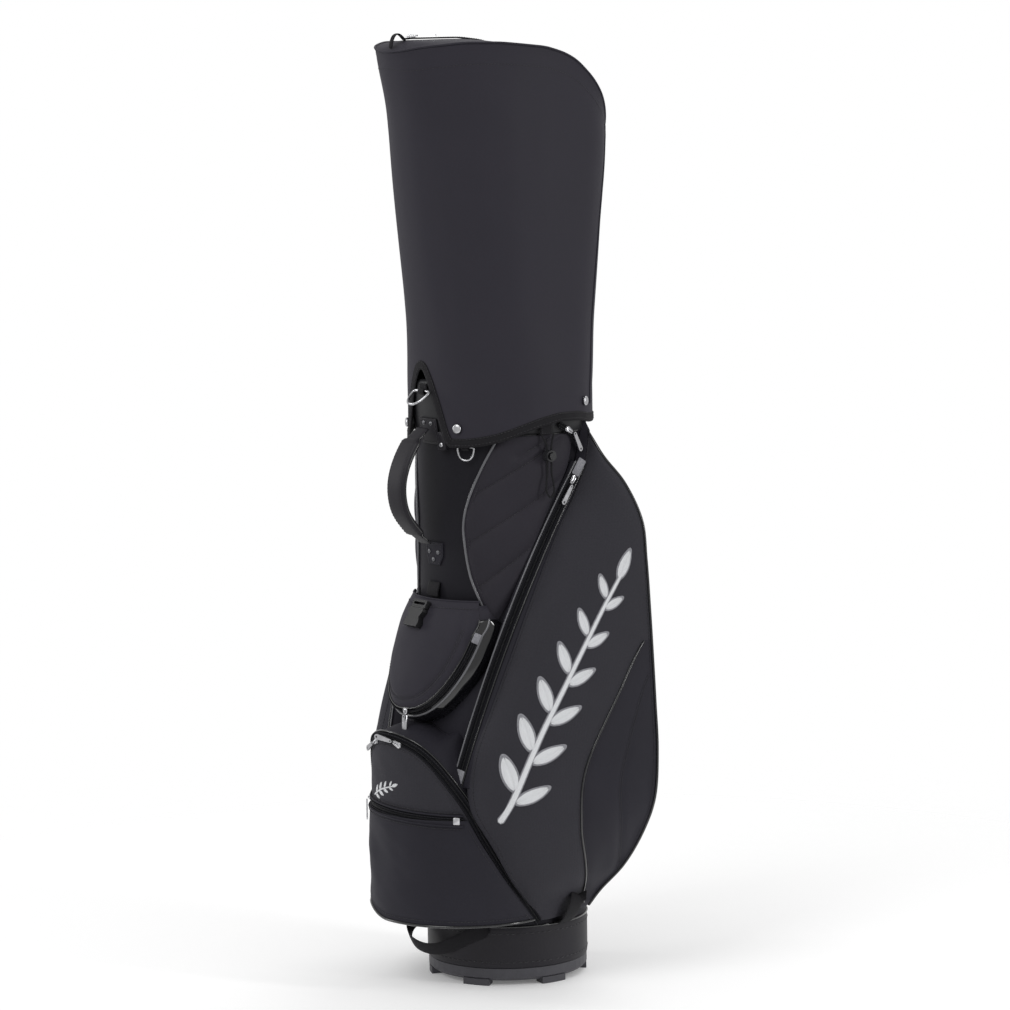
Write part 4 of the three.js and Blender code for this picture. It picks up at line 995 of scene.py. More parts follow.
def build_side(side, mirror):
    """One side pocket: its face, the gusset behind it, and the cloth that closes its top."""
    flip = vec(mirror, 1, 1)
    vs = np.linspace(0, 1, 250)
    P, G = side_surface(vs)
    us = np.linspace(0, 1, P.shape[1])
    n = grid_normals(P)
    if n[100, 40, 0] < 0:
        n = -n
    edge = smooth(us, 0, 0.09) * smooth(us, 1, 0.93)
    ends = smooth(vs, 0, 0.05) * smooth(vs, 1, 0.95)
    P = P + n * (side_relief(P) * edge[None, :] * ends[:, None])[..., None]
    P[:, :3] -= n[:, :3] * vec(0.9, 0.5, 0.15)[None, :, None]
    g = grid_normals(G)
    if g[100, 8] @ (G[100, 8] * FLAT) < 0:
        g = -g
    depth = np.linspace(0, 1, G.shape[1])
    wave = waves(G * vec(1, 1, 1.6), 70, 24) * (smooth(depth, 0, 0.2) * smooth(depth, 1, 0.8))
    G = G + g * wave[..., None]
    area = ACCENT_EDGE + [(210, 104), (210, 462)]
    accent = lambda c: inside(area, c[:, 1], c[:, 2]).astype(int)
    sheet(f"side_{side}_face", P * flip, 1.6, "bag", ["textured_cloth", "body_cloth"],
                    f"side_pocket_{side}", at=(100, 30), tag=accent)
    sheet(f"side_{side}_gusset", G * flip, 1.6, "bag", "body_cloth", at=(100, 8))
    face = Face(P)
    build_side_seams(side, flip, P, n, face)
    build_side_zip(side, mirror, P[:, 2])
    # the pocket's top, closed down to the tube under the hood's hem
    top = []
    for a in P[:70:3, 1]:
        b = polar(tube_radius(a[2]) + 0.3, bearing(a) - 2, a[2])
        top.append([lerp(a, b, t) for t in np.linspace(0, 1, 8)])
    a, b = top[0][0], top[0][-1]
    for rise, pull in ((8, 0.25), (16, 0.55), (24, 0.8)):
        top.insert(0, [lerp(lerp(a, b, pull), b, t) + UP * rise for t in np.linspace(0, 1, 8)])
    sheet(f"side_{side}_top", np.array(top) * flip, 1.4, "bag", "body_cloth", at=(6, 3),
          facing=vec(mirror * 0.3, -1, 0))
    cap = []
    for t in np.linspace(0, 1, 30):
        q = P[0, int(t * (P.shape[1] - 1))]
        seat = polar(tube_radius(740) + 0.5, bearing(q), 762)
        cap.append([lerp(q, seat, s) for s in np.linspace(0, 1, 6)])
    cap = np.array(cap) * flip
    sheet(f"side_{side}_cap", cap, 1.4, "bag", "body_cloth", at=(15, 3),
          facing=cap[15, 3] * FLAT + UP * 60)
    build_sprig(f"side_{side}_sprig", "bag", face, flip, vec(188, -112, 240), vec(188, 76, 584), 1.06,
                (-1, 0, 0))


def build_side_seams(side, flip, P, n, face):
    """Piping at the back edge and round the accent panel, and the rows of stitches."""
    pipe, rows = Parts(), Parts()
    back = even(P[:, -1], 3.5)
    pipe.rope((back + radial(back) * 0.9) * flip, 1.8, 9)
    for seam, beside_mm in ((ACCENT_EDGE, 3.6), (ACCENT_SEAM, 1.6)):
        line = even(Spline([(0, y, z) for y, z in seam])(np.linspace(0, 1, 120)), 3)
        spots, normals = face.along(line, (-1, 0, 0))
        spots = smoothed(spots, 4)
        if seam is ACCENT_EDGE:
            pipe.rope((spots + normals * 0.7) * flip, 1.5, 9)
        beside = np.cross(unit(np.gradient(spots, axis=0)), normals)
        for shift in (-beside_mm, beside_mm):
            path = spots + beside * shift + normals * 0.2
            rows.stitches(path * flip, normals * flip, 2.8, 1.4, 0.33, 0.15)
    for column in (4, -3):
        out = n[2:-2, column]
        rows.stitches((P[2:-2, column] + out * 0.3) * flip, out * flip, 2.8, 1.4, 0.33, 0.15)
    pipe.build(f"side_{side}_piping", "bag", "piping")
    rows.build(f"side_{side}_stitches", "bag", "thread")


def side_zip_out(path):
    """The tape's facing: outwards, turned towards the front, more at the top."""
    turns = lerp(-30, -8, np.linspace(0, 1, len(path)) ** 0.7) * DEG
    flat = radial(path)
    c, s = np.cos(turns), np.sin(turns)
    return np.stack([flat[:, 0] * c - flat[:, 1] * s, flat[:, 0] * s + flat[:, 1] * c, flat[:, 2]], 1)


def build_side_zip(side, mirror, face_edge):
    """The long zip, the strips that join it to the tube and to the pocket's face, and its slider."""
    flip = vec(mirror, 1, 1)
    path = SIDE_ZIP.path(3.0, -0.01, 1.075)
    out = side_zip_out(path)
    zip_run(f"side_zip_{side}", path * flip, out * flip, 14, "bag", f"side_zip_track_{side}")
    across, up = frame_along(path, out)
    if across[20][1] > 0:
        across = -across
    # the strip from the zip's front edge down to the tube
    lead = path + across * 7.0
    reach = np.array([tube_radius(z) + 0.5 for z in path[:, 2]])[:, None]
    foot = radial(lead) * reach + lead * UP + across * FLAT * 3
    strip = [lerp(lead, foot, t) + across * 1.6 * math.sin(t * math.pi) for t in np.linspace(0, 1, 8)]
    sheet(f"side_zip_welt_{side}", np.swapaxes(strip, 0, 1) * flip, 1.4, "bag", "body_cloth",
          at=(30, 3), facing=across[30] * flip)
    # the strip from the zip's back edge to the pocket's face
    rear = path - across * 6.8 + up * 0.6
    meet = [face_edge[np.argmin(np.linalg.norm(face_edge - p, axis=1))] for p in rear]
    meet = smoothed(meet, 6)
    fill = [lerp(rear, meet, t) for t in np.linspace(0, 1, 6)]
    sheet(f"side_zip_edge_{side}", np.swapaxes(fill, 0, 1) * flip, 1.2, "bag", "body_cloth",
          at=(40, 3), facing=up[40] * flip)
    dark = Parts().rope((rear + up) * flip, 1.1, 8)
    dark.build(f"side_zip_edging_{side}", "bag", "piping")
    # The rope along the zip's front edge takes the lighter piping material, a painted highlight along its
    # glossy black piping.
    bright = Parts().rope((lead + up * 0.8 + across * 0.9) * flip, 1.2, 9)
    bright.build(f"side_zip_painted_highlight_{side}", "bag", "bright_piping")
    tabs = Parts()
    for t, way in ((0.0, 1), (1.05, -1)):
        facing = out[0 if way > 0 else -1]
        down = SIDE_ZIP.tangent(t) * way
        beside = unit(np.cross(facing, down)) * flip * mirror
        garage(tabs, SIDE_ZIP.point(t) * flip, beside, down * flip, facing * flip, 12, 24, 1.6)
    tabs.build(f"side_zip_garages_{side}", "bag", "silver_edge", slot="patent_leather")
    arc_slider(f"side_zip_slider_{side}", SIDE_ZIP, 0.045, mirror,
               lambda p: polar(1, bearing(p) - 12, 0), 2.6, f"side_slider_{side}")


# ---------------------------------------------------------------- embroidery
def build_sprig(name, body, face, flip, start, end, scale, way, leaves=13, leaf=(50, 17.5), stem=3.8,
                lift=2.0):
    """A silver laurel sprig sewn on the face between two places, going `way` into the face."""
    length = np.linalg.norm(end - start)
    along = (end - start) / length
    side = unit(np.cross(along, way))
    thread, edge = Parts(), Parts()
    bend = lambda t: side * math.sin(t * math.pi * 1.1 + 0.2) * length * 0.035
    line = np.array([start + along * length * t + bend(t) for t in np.linspace(0, 0.93, 60)])
    spots, normals = face.along(line, way)
    spots = smoothed(spots, 6)
    width = np.linspace(1, 0.5, len(spots)) * stem * scale
    thread.rope((spots + normals * 0.2) * flip, width, 14, flat=0.55, up=normals * flip)
    # The grey rim under the stem and round each leaf is painted shade, standing in for the shading at the
    # raised embroidery's edges.
    edge.rope((spots + normals * 0.1) * flip, width + 1.3 * scale, 14, flat=0.22, up=normals * flip)
    shapes = []
    for t in np.linspace(0.06, 0.78, (leaves - 1) // 2):
        for sign, at in ((1, t + 0.035), (-1, t)):
            grow = (0.72 + 0.28 * math.sin(math.pi * min(1, 0.25 + at))) * (1.0 - 0.18 * at)
            heading = unit(along * 0.80 + side * 0.62 * sign)
            shapes.append((start + along * length * at + bend(at), heading, grow))
    shapes.append((start + along * length * 0.89 + bend(0.90), along, 0.85))
    ts, ws = np.linspace(0, 1, 25), np.linspace(-1, 1, 13)
    shape = np.sin(np.pi * ts ** 0.82) ** 0.85
    q, w = np.tile(ws, len(ts)), np.repeat(shape, len(ws))
    dome = np.sqrt(np.maximum(1 - q * q, 0)) * np.minimum(1, w * 1.6)
    rib = 1 - 0.42 * np.exp(-(q / 0.13) ** 2)
    faces = strips(len(ts), len(ws))
    corner = 6 * len(ws) + 6
    for root, heading, grow in shapes:
        long, wide = leaf[0] * scale * grow, leaf[1] * scale * grow / 2
        beside = unit(np.cross(heading, way))
        for margin, group, height in ((0.0, thread, lift * scale * (dome * rib)),
                                      (1.5 * scale, edge, 0.9 * scale * np.minimum(1, dome * 2.5))):
            a = np.repeat(ts, len(ws)) * (long + 2 * margin) + 4 * scale - margin
            reach = w * wide + margin * np.minimum(1, w * 4 + 0.15)
            flat = root + heading * a[:, None] + beside * q[:, None] * reach[:, None]
            spots, normals = face.along(flat, way)
            verts = (spots + normals * (height - 0.35)[:, None]) * flip
            test = np.cross(verts[corner + 1] - verts[corner], verts[corner + len(ws)] - verts[corner])
            wrong = (flip[0] < 0) != (test @ (normals[corner] * flip) < 0)
            group.add(verts, [f[::-1] for f in faces] if wrong else faces,
                      np.stack([q * wide, a + np.abs(q) * wide * 0.8], 1))
    thread.build(name, body, "silver_thread")
    edge.build(name + "_edge", body, "silver_edge")


for side_name, side_sign in BOTH_SIDES:
    build_side(side_name, side_sign)

# ---------------------------------------------------------------- quilted panels and front panel
# Height, left edge and right edge as polar angles from +X.
QUILT_ROWS = [(741, -37, 21), (697, -49, 15), (657, -58, 1), (624, -62, -7), (591, -61, -15),
              (551, -57, -24), (518, -50, -33), (492, -44, -41)]
# Sewn lines on the quilt as [angle, height] ends.
QUILT_LINES = [((-54, 664), (-6, 719)), ((-57, 601), (4, 676)), ((-52, 541), (-4, 610)),
               ((-40, 497), (-14, 540)), ((-18, 720), (14, 752))]
MM_PER_DEGREE = 1.95  # round the tube
QUILT_LEFT = Spline([(row[1], 0, row[0]) for row in QUILT_ROWS])
QUILT_RIGHT = Spline([(row[2], 0, row[0]) for row in QUILT_ROWS])


def quilt_gap(heading, z):
    """Distance in mm from the nearest sewn line of the quilt."""
    p = vec(heading * MM_PER_DEGREE, z)
    best = 1e9
    for (a0, z0), (a1, z1) in QUILT_LINES:
        a, b = vec(a0 * MM_PER_DEGREE, z0), vec(a1 * MM_PER_DEGREE, z1)
        t = np.clip((p - a) @ (b - a) / ((b - a) @ (b - a)), -0.2, 1.25)
        best = min(best, np.linalg.norm(p - a - t * (b - a)))
    return best


def quilt_edge_at(edge, z):
    """The polar angle of a quilt edge at a height."""
    points = edge(np.linspace(0, 1, 60))
    return np.interp(-z, -points[:, 2], points[:, 0])


def build_quilt(side, mirror):
    """A quilted panel, puffed between its sewn lines."""
    flip = vec(mirror, 1, 1)
    P = []
    for v in np.linspace(0, 1, 150):
        left, right = QUILT_LEFT(v), QUILT_RIGHT(v)
        span, z = (right[0] - left[0]) * MM_PER_DEGREE, left[2]
        row = []
        for u in np.linspace(0, 1, 66):
            a = lerp(left[0], right[0], u)
            rim = min(u * span, (1 - u) * span * 1.2, (1 - v) * 250, 30)
            puff = 5.0 * (1 - math.exp(-quilt_gap(a, z) / 7.5)) * (1 - math.exp(-max(rim, 0) / 6))
            row.append(polar(tube_radius(z) + 1.6 + puff, a, z))
        P.append(row)
    P = np.array(P)
    P = P + radial(P) * (waves(P, 60, 41) * 0.35 + waves(P, 22, 42) * 0.12)[..., None]
    sheet(f"quilt_{side}", P * flip, 1.4, "bag", "quilt_cloth",
                    f"quilt_panel_{side}", at=(70, 30))
    face = Face(P)
    rows, pipe = Parts(), Parts()
    for (a0, z0), (a1, z1) in QUILT_LINES:
        line = []
        for t in np.linspace(0, 1, 40):
            a, z = lerp(a0, a1, t), lerp(z0, z1, t)
            inside_height = QUILT_ROWS[-1][0] < z < QUILT_ROWS[0][0]
            if inside_height and quilt_edge_at(QUILT_LEFT, z) < a < quilt_edge_at(QUILT_RIGHT, z):
                line.append(polar(tube_radius(z) + 2, a, z))
        if len(line) > 4:
            spots = face.near(line)
            out = radial(spots)
            rows.stitches((spots + out * 0.2) * flip, out * flip, 3.0, 1.5, 0.38, 0.15)
    edge = even(QUILT_LEFT(np.linspace(0, 1, 120)), 1.2)
    line = smoothed([polar(tube_radius(q[2]) + 2.4, q[0] - 0.4, q[2]) for q in edge], 3)
    pipe.rope(even(line, 3) * flip, 1.9, 10)
    inner = np.array([polar(tube_radius(q[2]) + 3.4, q[0] + 3.2, q[2]) for q in edge])[4:-8]
    rows.stitches(inner * flip, radial(inner) * flip, 2.8, 1.4, 0.35, 0.3)
    rows.build(f"quilt_{side}_stitches", "bag", "thread", slot="quilted_fabric")
    # The quilt's edge piping takes the lighter piping material, a painted highlight along glossy black
    # piping.
    pipe.build(f"quilt_{side}_piping", "bag", "bright_piping")


# The fill between the pouch and the ball pocket: its top, and where it meets the pocket.
PANEL_TOP, PANEL_LOW = 470, 352


def panel_radius(z):
    """The fill's radius: from the ball pocket's width up to the tube's."""
    return float(lerp(133, tube_radius(z) + 1.5, smooth(z, PANEL_LOW, PANEL_TOP + 20)))


def build_front_panel():
    us, vs = np.linspace(0, 1, 110), np.linspace(-0.16, 1.5, 70)
    rows = []
    for v in vs:
        z = lerp(PANEL_TOP, PANEL_LOW, v)
        half = 90 - lerp(46, 57, min(max(v, 0), 1)) + 7 + 6 * float(smooth(v, 0.4, 1.0))
        radius = panel_radius(z) - 0.4
        rows.append([polar(radius, lerp(-90 - half, -90 + half, u), z) for u in us])
    P = np.array(rows)
    P = P + radial(P) * (waves(P * vec(1, 1, 0.6), 60, 44) * 0.8)[..., None]
    sheet("front_fill", P, 2, "bag", "body_cloth", "front_panel", at=(30, 50))


for side_name, side_sign in BOTH_SIDES:
    build_quilt(side_name, side_sign)
build_front_panel()


# ---------------------------------------------------------------- ball pocket
# The pocket's face lies on a standing cylinder: its axis and radius, and the pocket's bottom.
BALL_CENTRE_Y, BALL_RADIUS, BALL_BOTTOM = -70.0, 118.0, 97.0
# The door's inner radius, its thickness, and the height of the lower pocket's top.
DOOR_INNER, SKIN, FRONT_TOP = 121.0, 2.4, 238.0
# The CAD's arch, which the two sliders run on: the height of its spring and its rise.
ARCH_SPRING, ARCH_RISE, ARCH_POWER = 110.0, 226.0, 2 / 2.2


def arch_point(turn_deg, grow):
    c, s = math.cos(turn_deg * DEG), math.sin(turn_deg * DEG)
    reach = c ** ARCH_POWER
    y = BALL_CENTRE_Y - math.sqrt(DOOR_INNER ** 2 - (reach * BALL_RADIUS) ** 2)
    return vec(reach * (BALL_RADIUS + grow), y, ARCH_SPRING + s ** ARCH_POWER * (ARCH_RISE + grow))


def ball_out(p):
    """The level direction away from the pocket's own axis."""
    return radial(p - vec(0, BALL_CENTRE_Y, 0))


# The arch round the pocket's face as [angle from the front, height], right side from the bottom up.
ARCH = [(106, 85), (93, 119), (81, 154), (72.8, 182), (65, 210), (55.4, 249), (46, 278), (32.9, 311),
        (22.4, 327), (9.8, 335), (0, 336.5)]
ARCH_MM = BALL_RADIUS * DEG
ARCH_PLANE = spline([(a * ARCH_MM, z, 0) for a, z in ARCH + [(-a, z) for a, z in ARCH[-2::-1]]], 2.0)[:, :2]


def ball_point(heading, z, radius):
    return vec(radius * math.sin(heading * DEG), BALL_CENTRE_Y - radius * math.cos(heading * DEG), z)


def arch_line(grow, radius, step=3, trim=0):
    """The arch moved outwards by `grow` in its own surface, at the given radius."""
    tangent = unit(np.gradient(ARCH_PLANE, axis=0))
    flat = ARCH_PLANE + np.stack([tangent[:, 1], -tangent[:, 0]], 1) * grow
    flat = flat[trim:len(flat) - trim]
    return even(np.array([ball_point(s / ARCH_MM, z, radius) for s, z in flat]), step)


def face_heading(z):
    """How far round the arch reaches at a height."""
    half = ARCH_PLANE[:len(ARCH_PLANE) // 2 + 1]
    return float(np.interp(z, half[:, 1], half[:, 0])) / ARCH_MM


def bottom_sag(heading):
    """How much higher the pocket's bottom is than its lowest part, on the left side."""
    return 11 * float(smooth(-heading, 0, 34)) * float(smooth(-heading, 110, 60))


def ball_face(us, vs, radius, inset, low, high, power=1.8):
    """Points inside the arch between two heights; a higher power puts more of them near the top."""
    rows = []
    for v in vs:
        z0 = lerp(low, high, 1 - (1 - v) ** power)
        half = max(face_heading(z0) - inset / ARCH_MM, 0.3)
        rows.append([ball_point(u * half, z0 + (1 - v) ** 3 * bottom_sag(u * half), radius) for u in us])
    return np.array(rows)


def build_ball_pocket():
    """The gusset from the arch back to the bag, the pocket's floor, and its zip."""
    arch = arch_line(9.0, BALL_RADIUS, 4)
    rows = []
    for p in arch:
        rise = 52 * float(smooth(p[2], 170, 260)) * (1 - 0.72 * float(smooth(p[2], 296, 337)))
        high = p[2] + rise
        reach = lerp(tube_radius(max(p[2], 81)) + 1, panel_radius(high) - 1, float(smooth(high, 210, 300)))
        back = radial(p) * reach + UP * (high - 3)
        crown = float(smooth(p[2], 200, 300))
        rows.append([lerp(p, back, d) + UP * (5.0 * math.sin(math.pi * d) * crown)
                     for d in np.linspace(0, 1, 18)])
    sheet("ball_gusset_cloth", np.array(rows), 1.6, "bag", "body_cloth", "ball_pocket_gusset",
          at=(len(arch) // 2, 8), facing=UP)
    headings = np.linspace(-100, 100, 81)
    front = np.array([ball_point(h, BALL_BOTTOM + 2 + bottom_sag(h), DOOR_INNER - 1) for h in headings])
    back = radial(front) * (tube_radius(97) + 1) + front * UP
    floor = np.array([lerp(front, back, share) for share in np.linspace(0, 1, 14)])
    sheet("ball_floor", floor, 1.6, "bag", "body_cloth", at=(6, 40), facing=-UP)
    path = arch_line(4.9, DOOR_INNER + 1.2, 3, 1)
    zip_run("ball_zip", path, ball_out(path), 13, "bag", "ball_zip_track")
    pipe = Parts().rope(arch_line(12.2, BALL_RADIUS + 2.0), 1.5, 9)
    pipe.build("ball_arch_piping", "bag", "piping")
    build_ball_door()


def build_ball_door():
    """The pocket's front, which tilts, with the lower pocket on it."""
    us = np.linspace(-1, 1, 130)
    P = ball_face(us, np.linspace(0, 1, 110), DOOR_INNER + SKIN - 0.4, 1.4, BALL_BOTTOM + 1, 334)
    out = ball_out(P)
    z = P[..., 2]
    field = waves(P * vec(1, 1, 0.8), 110, 52) * 0.9 + waves(P, 38, 53) * 0.25
    rim = smooth(us, -1, -0.9) * smooth(us, 1, 0.9)
    P = P + out * (field * rim[None, :] * smooth(z, 334, 312))[..., None]
    sheet("ball_door_face", P, 2.0, "ball_door", "textured_cloth",
                    "ball_pocket_door", at=(50, 60), facing=out[50, 60])
    # the lower front pocket: plain cloth with soft folds, a hem along the bottom and a welt on top
    low = np.linspace(0, 1, 90)
    F = ball_face(us, low, DOOR_INNER + SKIN * 2 + 0.6, 2.0, BALL_BOTTOM - 1, FRONT_TOP, 1.0)
    out = ball_out(F)
    across = np.arctan2(F[..., 0], -(F[..., 1] - BALL_CENTRE_Y)) * 125
    fold = (np.sin((across * 0.62 + F[..., 2] * 0.9) / 15 + waves(F, 110, 54) * 1.6) * 0.8
            + waves(F * vec(1, 1, 0.7), 80, 55) * 1.3 + waves(F, 26, 56) * 0.25)
    sides, ends = smooth(us, -1, -0.93) * smooth(us, 1, 0.93), smooth(low, 0, 0.1) * smooth(low, 1, 0.85)
    F = F + out * ((fold + 0.8) * (sides[None, :] * ends[:, None]))[..., None]
    sheet("ball_front_cloth", F, 1.8, "ball_door", "body_cloth",
                    "ball_front_pocket", at=(40, 60), facing=out[40, 60])
    pipe, rows, welt = Parts(), Parts(), Parts()
    pipe.rope(even(F[0] + out[0] * 0.4, 3) - UP * 0.6, 1.9, 10)
    pipe.build("ball_bottom_piping", "ball_door", "piping")
    rows.stitches(F[4, 2:-2] + out[4, 2:-2] * 0.3, out[4, 2:-2], 2.8, 1.4, 0.34, 0.15)
    headings = np.linspace(-50, face_heading(FRONT_TOP + 4) - 3, 120)
    drop = 7.0 * smooth(headings, -30, 70)
    zip_line = even([ball_point(h, FRONT_TOP + 6.0 - d, DOOR_INNER + SKIN + 0.6)
                     for h, d in zip(headings, drop)], 3)
    out = ball_out(zip_line)
    zip_run("front_zip", zip_line, out, 9.5, "ball_door")
    for dz, lift in ((7.0, 1.2), (-6.8, 3.2)):
        welt.rope(zip_line + UP * dz + out * lift, 1.25, 8)
    welt.build("front_zip_welts", "ball_door", "body_cloth")
    for dz, lift in ((10.4, 0.7), (-10.6, 3.3)):
        rows.stitches(zip_line + UP * dz + out * lift, out, 2.8, 1.4, 0.34, 0.15)
    arch = arch_line(-5.0, DOOR_INNER + SKIN + 0.2, 2, 14)
    arch = arch[arch[:, 2] > FRONT_TOP + 16]
    rows.stitches(arch, ball_out(arch), 2.8, 1.4, 0.34, 0.2)
    low_arch = arch_line(-6.5, DOOR_INNER + SKIN * 2 + 0.8, 2, 8)
    for sign in (1, -1):
        part = low_arch[(low_arch[:, 2] < FRONT_TOP - 8) & (low_arch[:, 0] * sign > 0)]
        rows.stitches(part, ball_out(part), 2.8, 1.4, 0.34, 0.2)
    rows.build("ball_stitches", "ball_door", "thread")
    tabs, ends = Parts(), Parts()
    for at, group in ((zip_line[2], tabs), (zip_line[-4], ends)):
        garage(group, at, UP, unit(np.cross(ball_out(at), UP)), ball_out(at), 10, 9, 1.7)
    tabs.build("front_zip_garage", "ball_door", "patent")
    ends.build("front_zip_end", "ball_door", "nickel")
    build_sprig("ball_sprig", "ball_door", Face(P), vec(1, 1, 1), vec(-40, -192, 258), vec(14, -194, 279),
                0.36, (0, 1, 0), leaves=9, leaf=(42, 17), stem=3.6, lift=3.4)


build_ball_pocket()
BALL_ZIP = Arc(arch_point(87, 5), arch_point(50, 5), arch_point(14, 5))
arc_slider("ball_zip_slider_right", BALL_ZIP, 0.06, 1, ball_out, 5.8, "ball_slider_right", True)
arc_slider("ball_zip_slider_left", BALL_ZIP, 0.1, -1, ball_out, 5.8, "ball_slider_left")

# ---------------------------------------------------------------- valuables pouch
# The radius of the pouch's front, its top and bottom, and half its width. Then the height where its
# sides start to round in, how square that curve is, and how much the top is drawn in.
POUCH_RADIUS, POUCH_TOP, POUCH_BOTTOM, POUCH_HALF = 102.0, 522.0, 378.0, 95.0
POUCH_SHOULDER, POUCH_POWER, POUCH_TAPER = POUCH_TOP - 14, 2.4, 20
# How wide the lid is against the gusset behind it, and how far the gusset drops towards the bag.
LID_SHARE, BAND_DROP = 0.86, 23.0
# The axis that the lid bends round, from the bottom up.
POUCH_AXIS = Spline([(0, -66, POUCH_BOTTOM), (0, -65, 402), (0, -60, 430), (0, -43, 485),
                     (0, -20, POUCH_TOP + 4)])(np.linspace(0, 1, 300))


def pouch_centre(z):
    return float(np.interp(z, POUCH_AXIS[:, 2], POUCH_AXIS[:, 1]))


def pouch_y(x, z, radius):
    return pouch_centre(z) - math.sqrt(max(radius * radius - x * x, 0))


def pouch_taper(z):
    """How much narrower the pouch is near its top."""
    return POUCH_TAPER * float(smooth(z, 484, POUCH_TOP))


def pouch_half(z):
    low = min(max((POUCH_SHOULDER - z) / (POUCH_SHOULDER - POUCH_BOTTOM), 0), 1)
    return POUCH_HALF * (1 - low ** POUCH_POWER) ** (1 / POUCH_POWER) - pouch_taper(z)


def pouch_edge(u, inset):
    """A point (x, z) of the pouch's U-shaped outline; u goes from the left top round to the right."""
    turn, power = math.pi * u, 2 / POUCH_POWER
    c, s = math.cos(turn), math.sin(turn)
    z = POUCH_SHOULDER - max(s, 0) ** power * (POUCH_SHOULDER - POUCH_BOTTOM - inset)
    half = abs(c) ** power * (POUCH_HALF - inset) - pouch_taper(z)
    return -math.copysign(max(half, 0), c), z


def pouch_out(x, z):
    """The direction away from the pouch's bent axis."""
    slope = (pouch_y(x, z + 2, POUCH_RADIUS) - pouch_y(x, z - 2, POUCH_RADIUS)) / 4
    flat = unit(vec(x, pouch_y(x, z, POUCH_RADIUS) - pouch_centre(z), 0))
    return unit(flat + UP * slope)


def lid_share(z):
    """The lid's width as a share of the gusset's."""
    return lerp(LID_SHARE, 1.0, float(smooth(z, 478, 520)))


def lid_edge(inset, us):
    """Points (x, z) of the lid's outline."""
    return [(x * lid_share(z), z) for x, z in (pouch_edge(u, inset) for u in us)]


def lid_spots(places):
    """The lid's points at the (x, z) places, and the directions out of it there."""
    spots = np.array([vec(x, pouch_y(x, z, POUCH_RADIUS), z) for x, z in places])
    return spots, np.array([pouch_out(x, z) for x, z in places])


def build_lid():
    """The pouch's lid, with its channel, stitches and hem, and the cheeks beside its top."""
    us, vs = np.linspace(0, 1, 84), np.linspace(0, 1, 90)
    places = []
    for z in lerp(POUCH_BOTTOM + 2, POUCH_TOP, vs ** 1.6):
        half = (pouch_half(z) - 0.5) * lid_share(z)
        places += [(half * math.sin((u - 0.5) * math.pi * 0.96), z) for u in us]
    P, out = (a.reshape(len(vs), len(us), 3) for a in lid_spots(places))
    outline = np.array(lid_edge(1.0, np.linspace(0, 1, 120)))
    gap = np.min(np.linalg.norm(P[:, :, None, [0, 2]] - outline[None, None], axis=-1), axis=-1)
    field = waves(P, 90, 61) * 0.7 + waves(P, 30, 62) * 0.2
    field = field + 1.6 * smooth(gap, 2, 16)
    field = field - 1.3 * np.exp(-((gap - 13) / 3.0) ** 2) - 0.9 * smooth(gap, 7, 0)
    P = P + out * (field * smooth(vs, 1, 0.93)[:, None])[..., None]
    sheet("pouch_lid_cloth", P, 2.2, "pouch_lid", "hood_cloth", "pouch_lid",
                    at=(40, 40), facing=out[40, 40])
    for side, column, outwards in (("left", 0, -0.6), ("right", -1, 0.6)):
        cheek = []  # closes the lid's top corner down to the bag
        for p in P[::3, column]:
            if p[2] > 486:
                drop = float(smooth(p[2], 520, 490))
                x, low = p[0] * (1.06 + 0.10 * drop), p[2] - 14 * drop
                seat = vec(x, -math.sqrt(max((tube_radius(low) + 2) ** 2 - x * x, 1)), low)
                cheek.append([lerp(p, seat, t) - vec(0, 2.5 * math.sin(math.pi * t), 0)
                              for t in np.linspace(0, 1, 8)])
        sheet(f"pouch_cheek_{side}", np.array(cheek), 1.4, "bag", "hood_cloth",
                        at=(len(cheek) // 2, 4), facing=vec(outwards, -1, 0))
    rows, face = Parts(), Face(P)
    for inset in (11.5, 14.5):
        line, outs = lid_spots(lid_edge(inset, np.linspace(0.04, 0.96, 150)))
        rows.stitches(face.near(line) + outs * 0.2, outs, 2.8, 1.4, 0.36, 0.2)
    rows.stitches(P[-5] + out[-5] * 0.25, out[-5], 2.8, 1.4, 0.36, 0.2)
    rows.build("pouch_lid_stitches", "pouch_lid", "thread")
    rim = Parts().rope(P[-1] + vec(0, 0.4, -0.2), 1.3, 8)
    rim.build("pouch_lid_hem", "pouch_lid", "hood_cloth", slot="body_fabric")


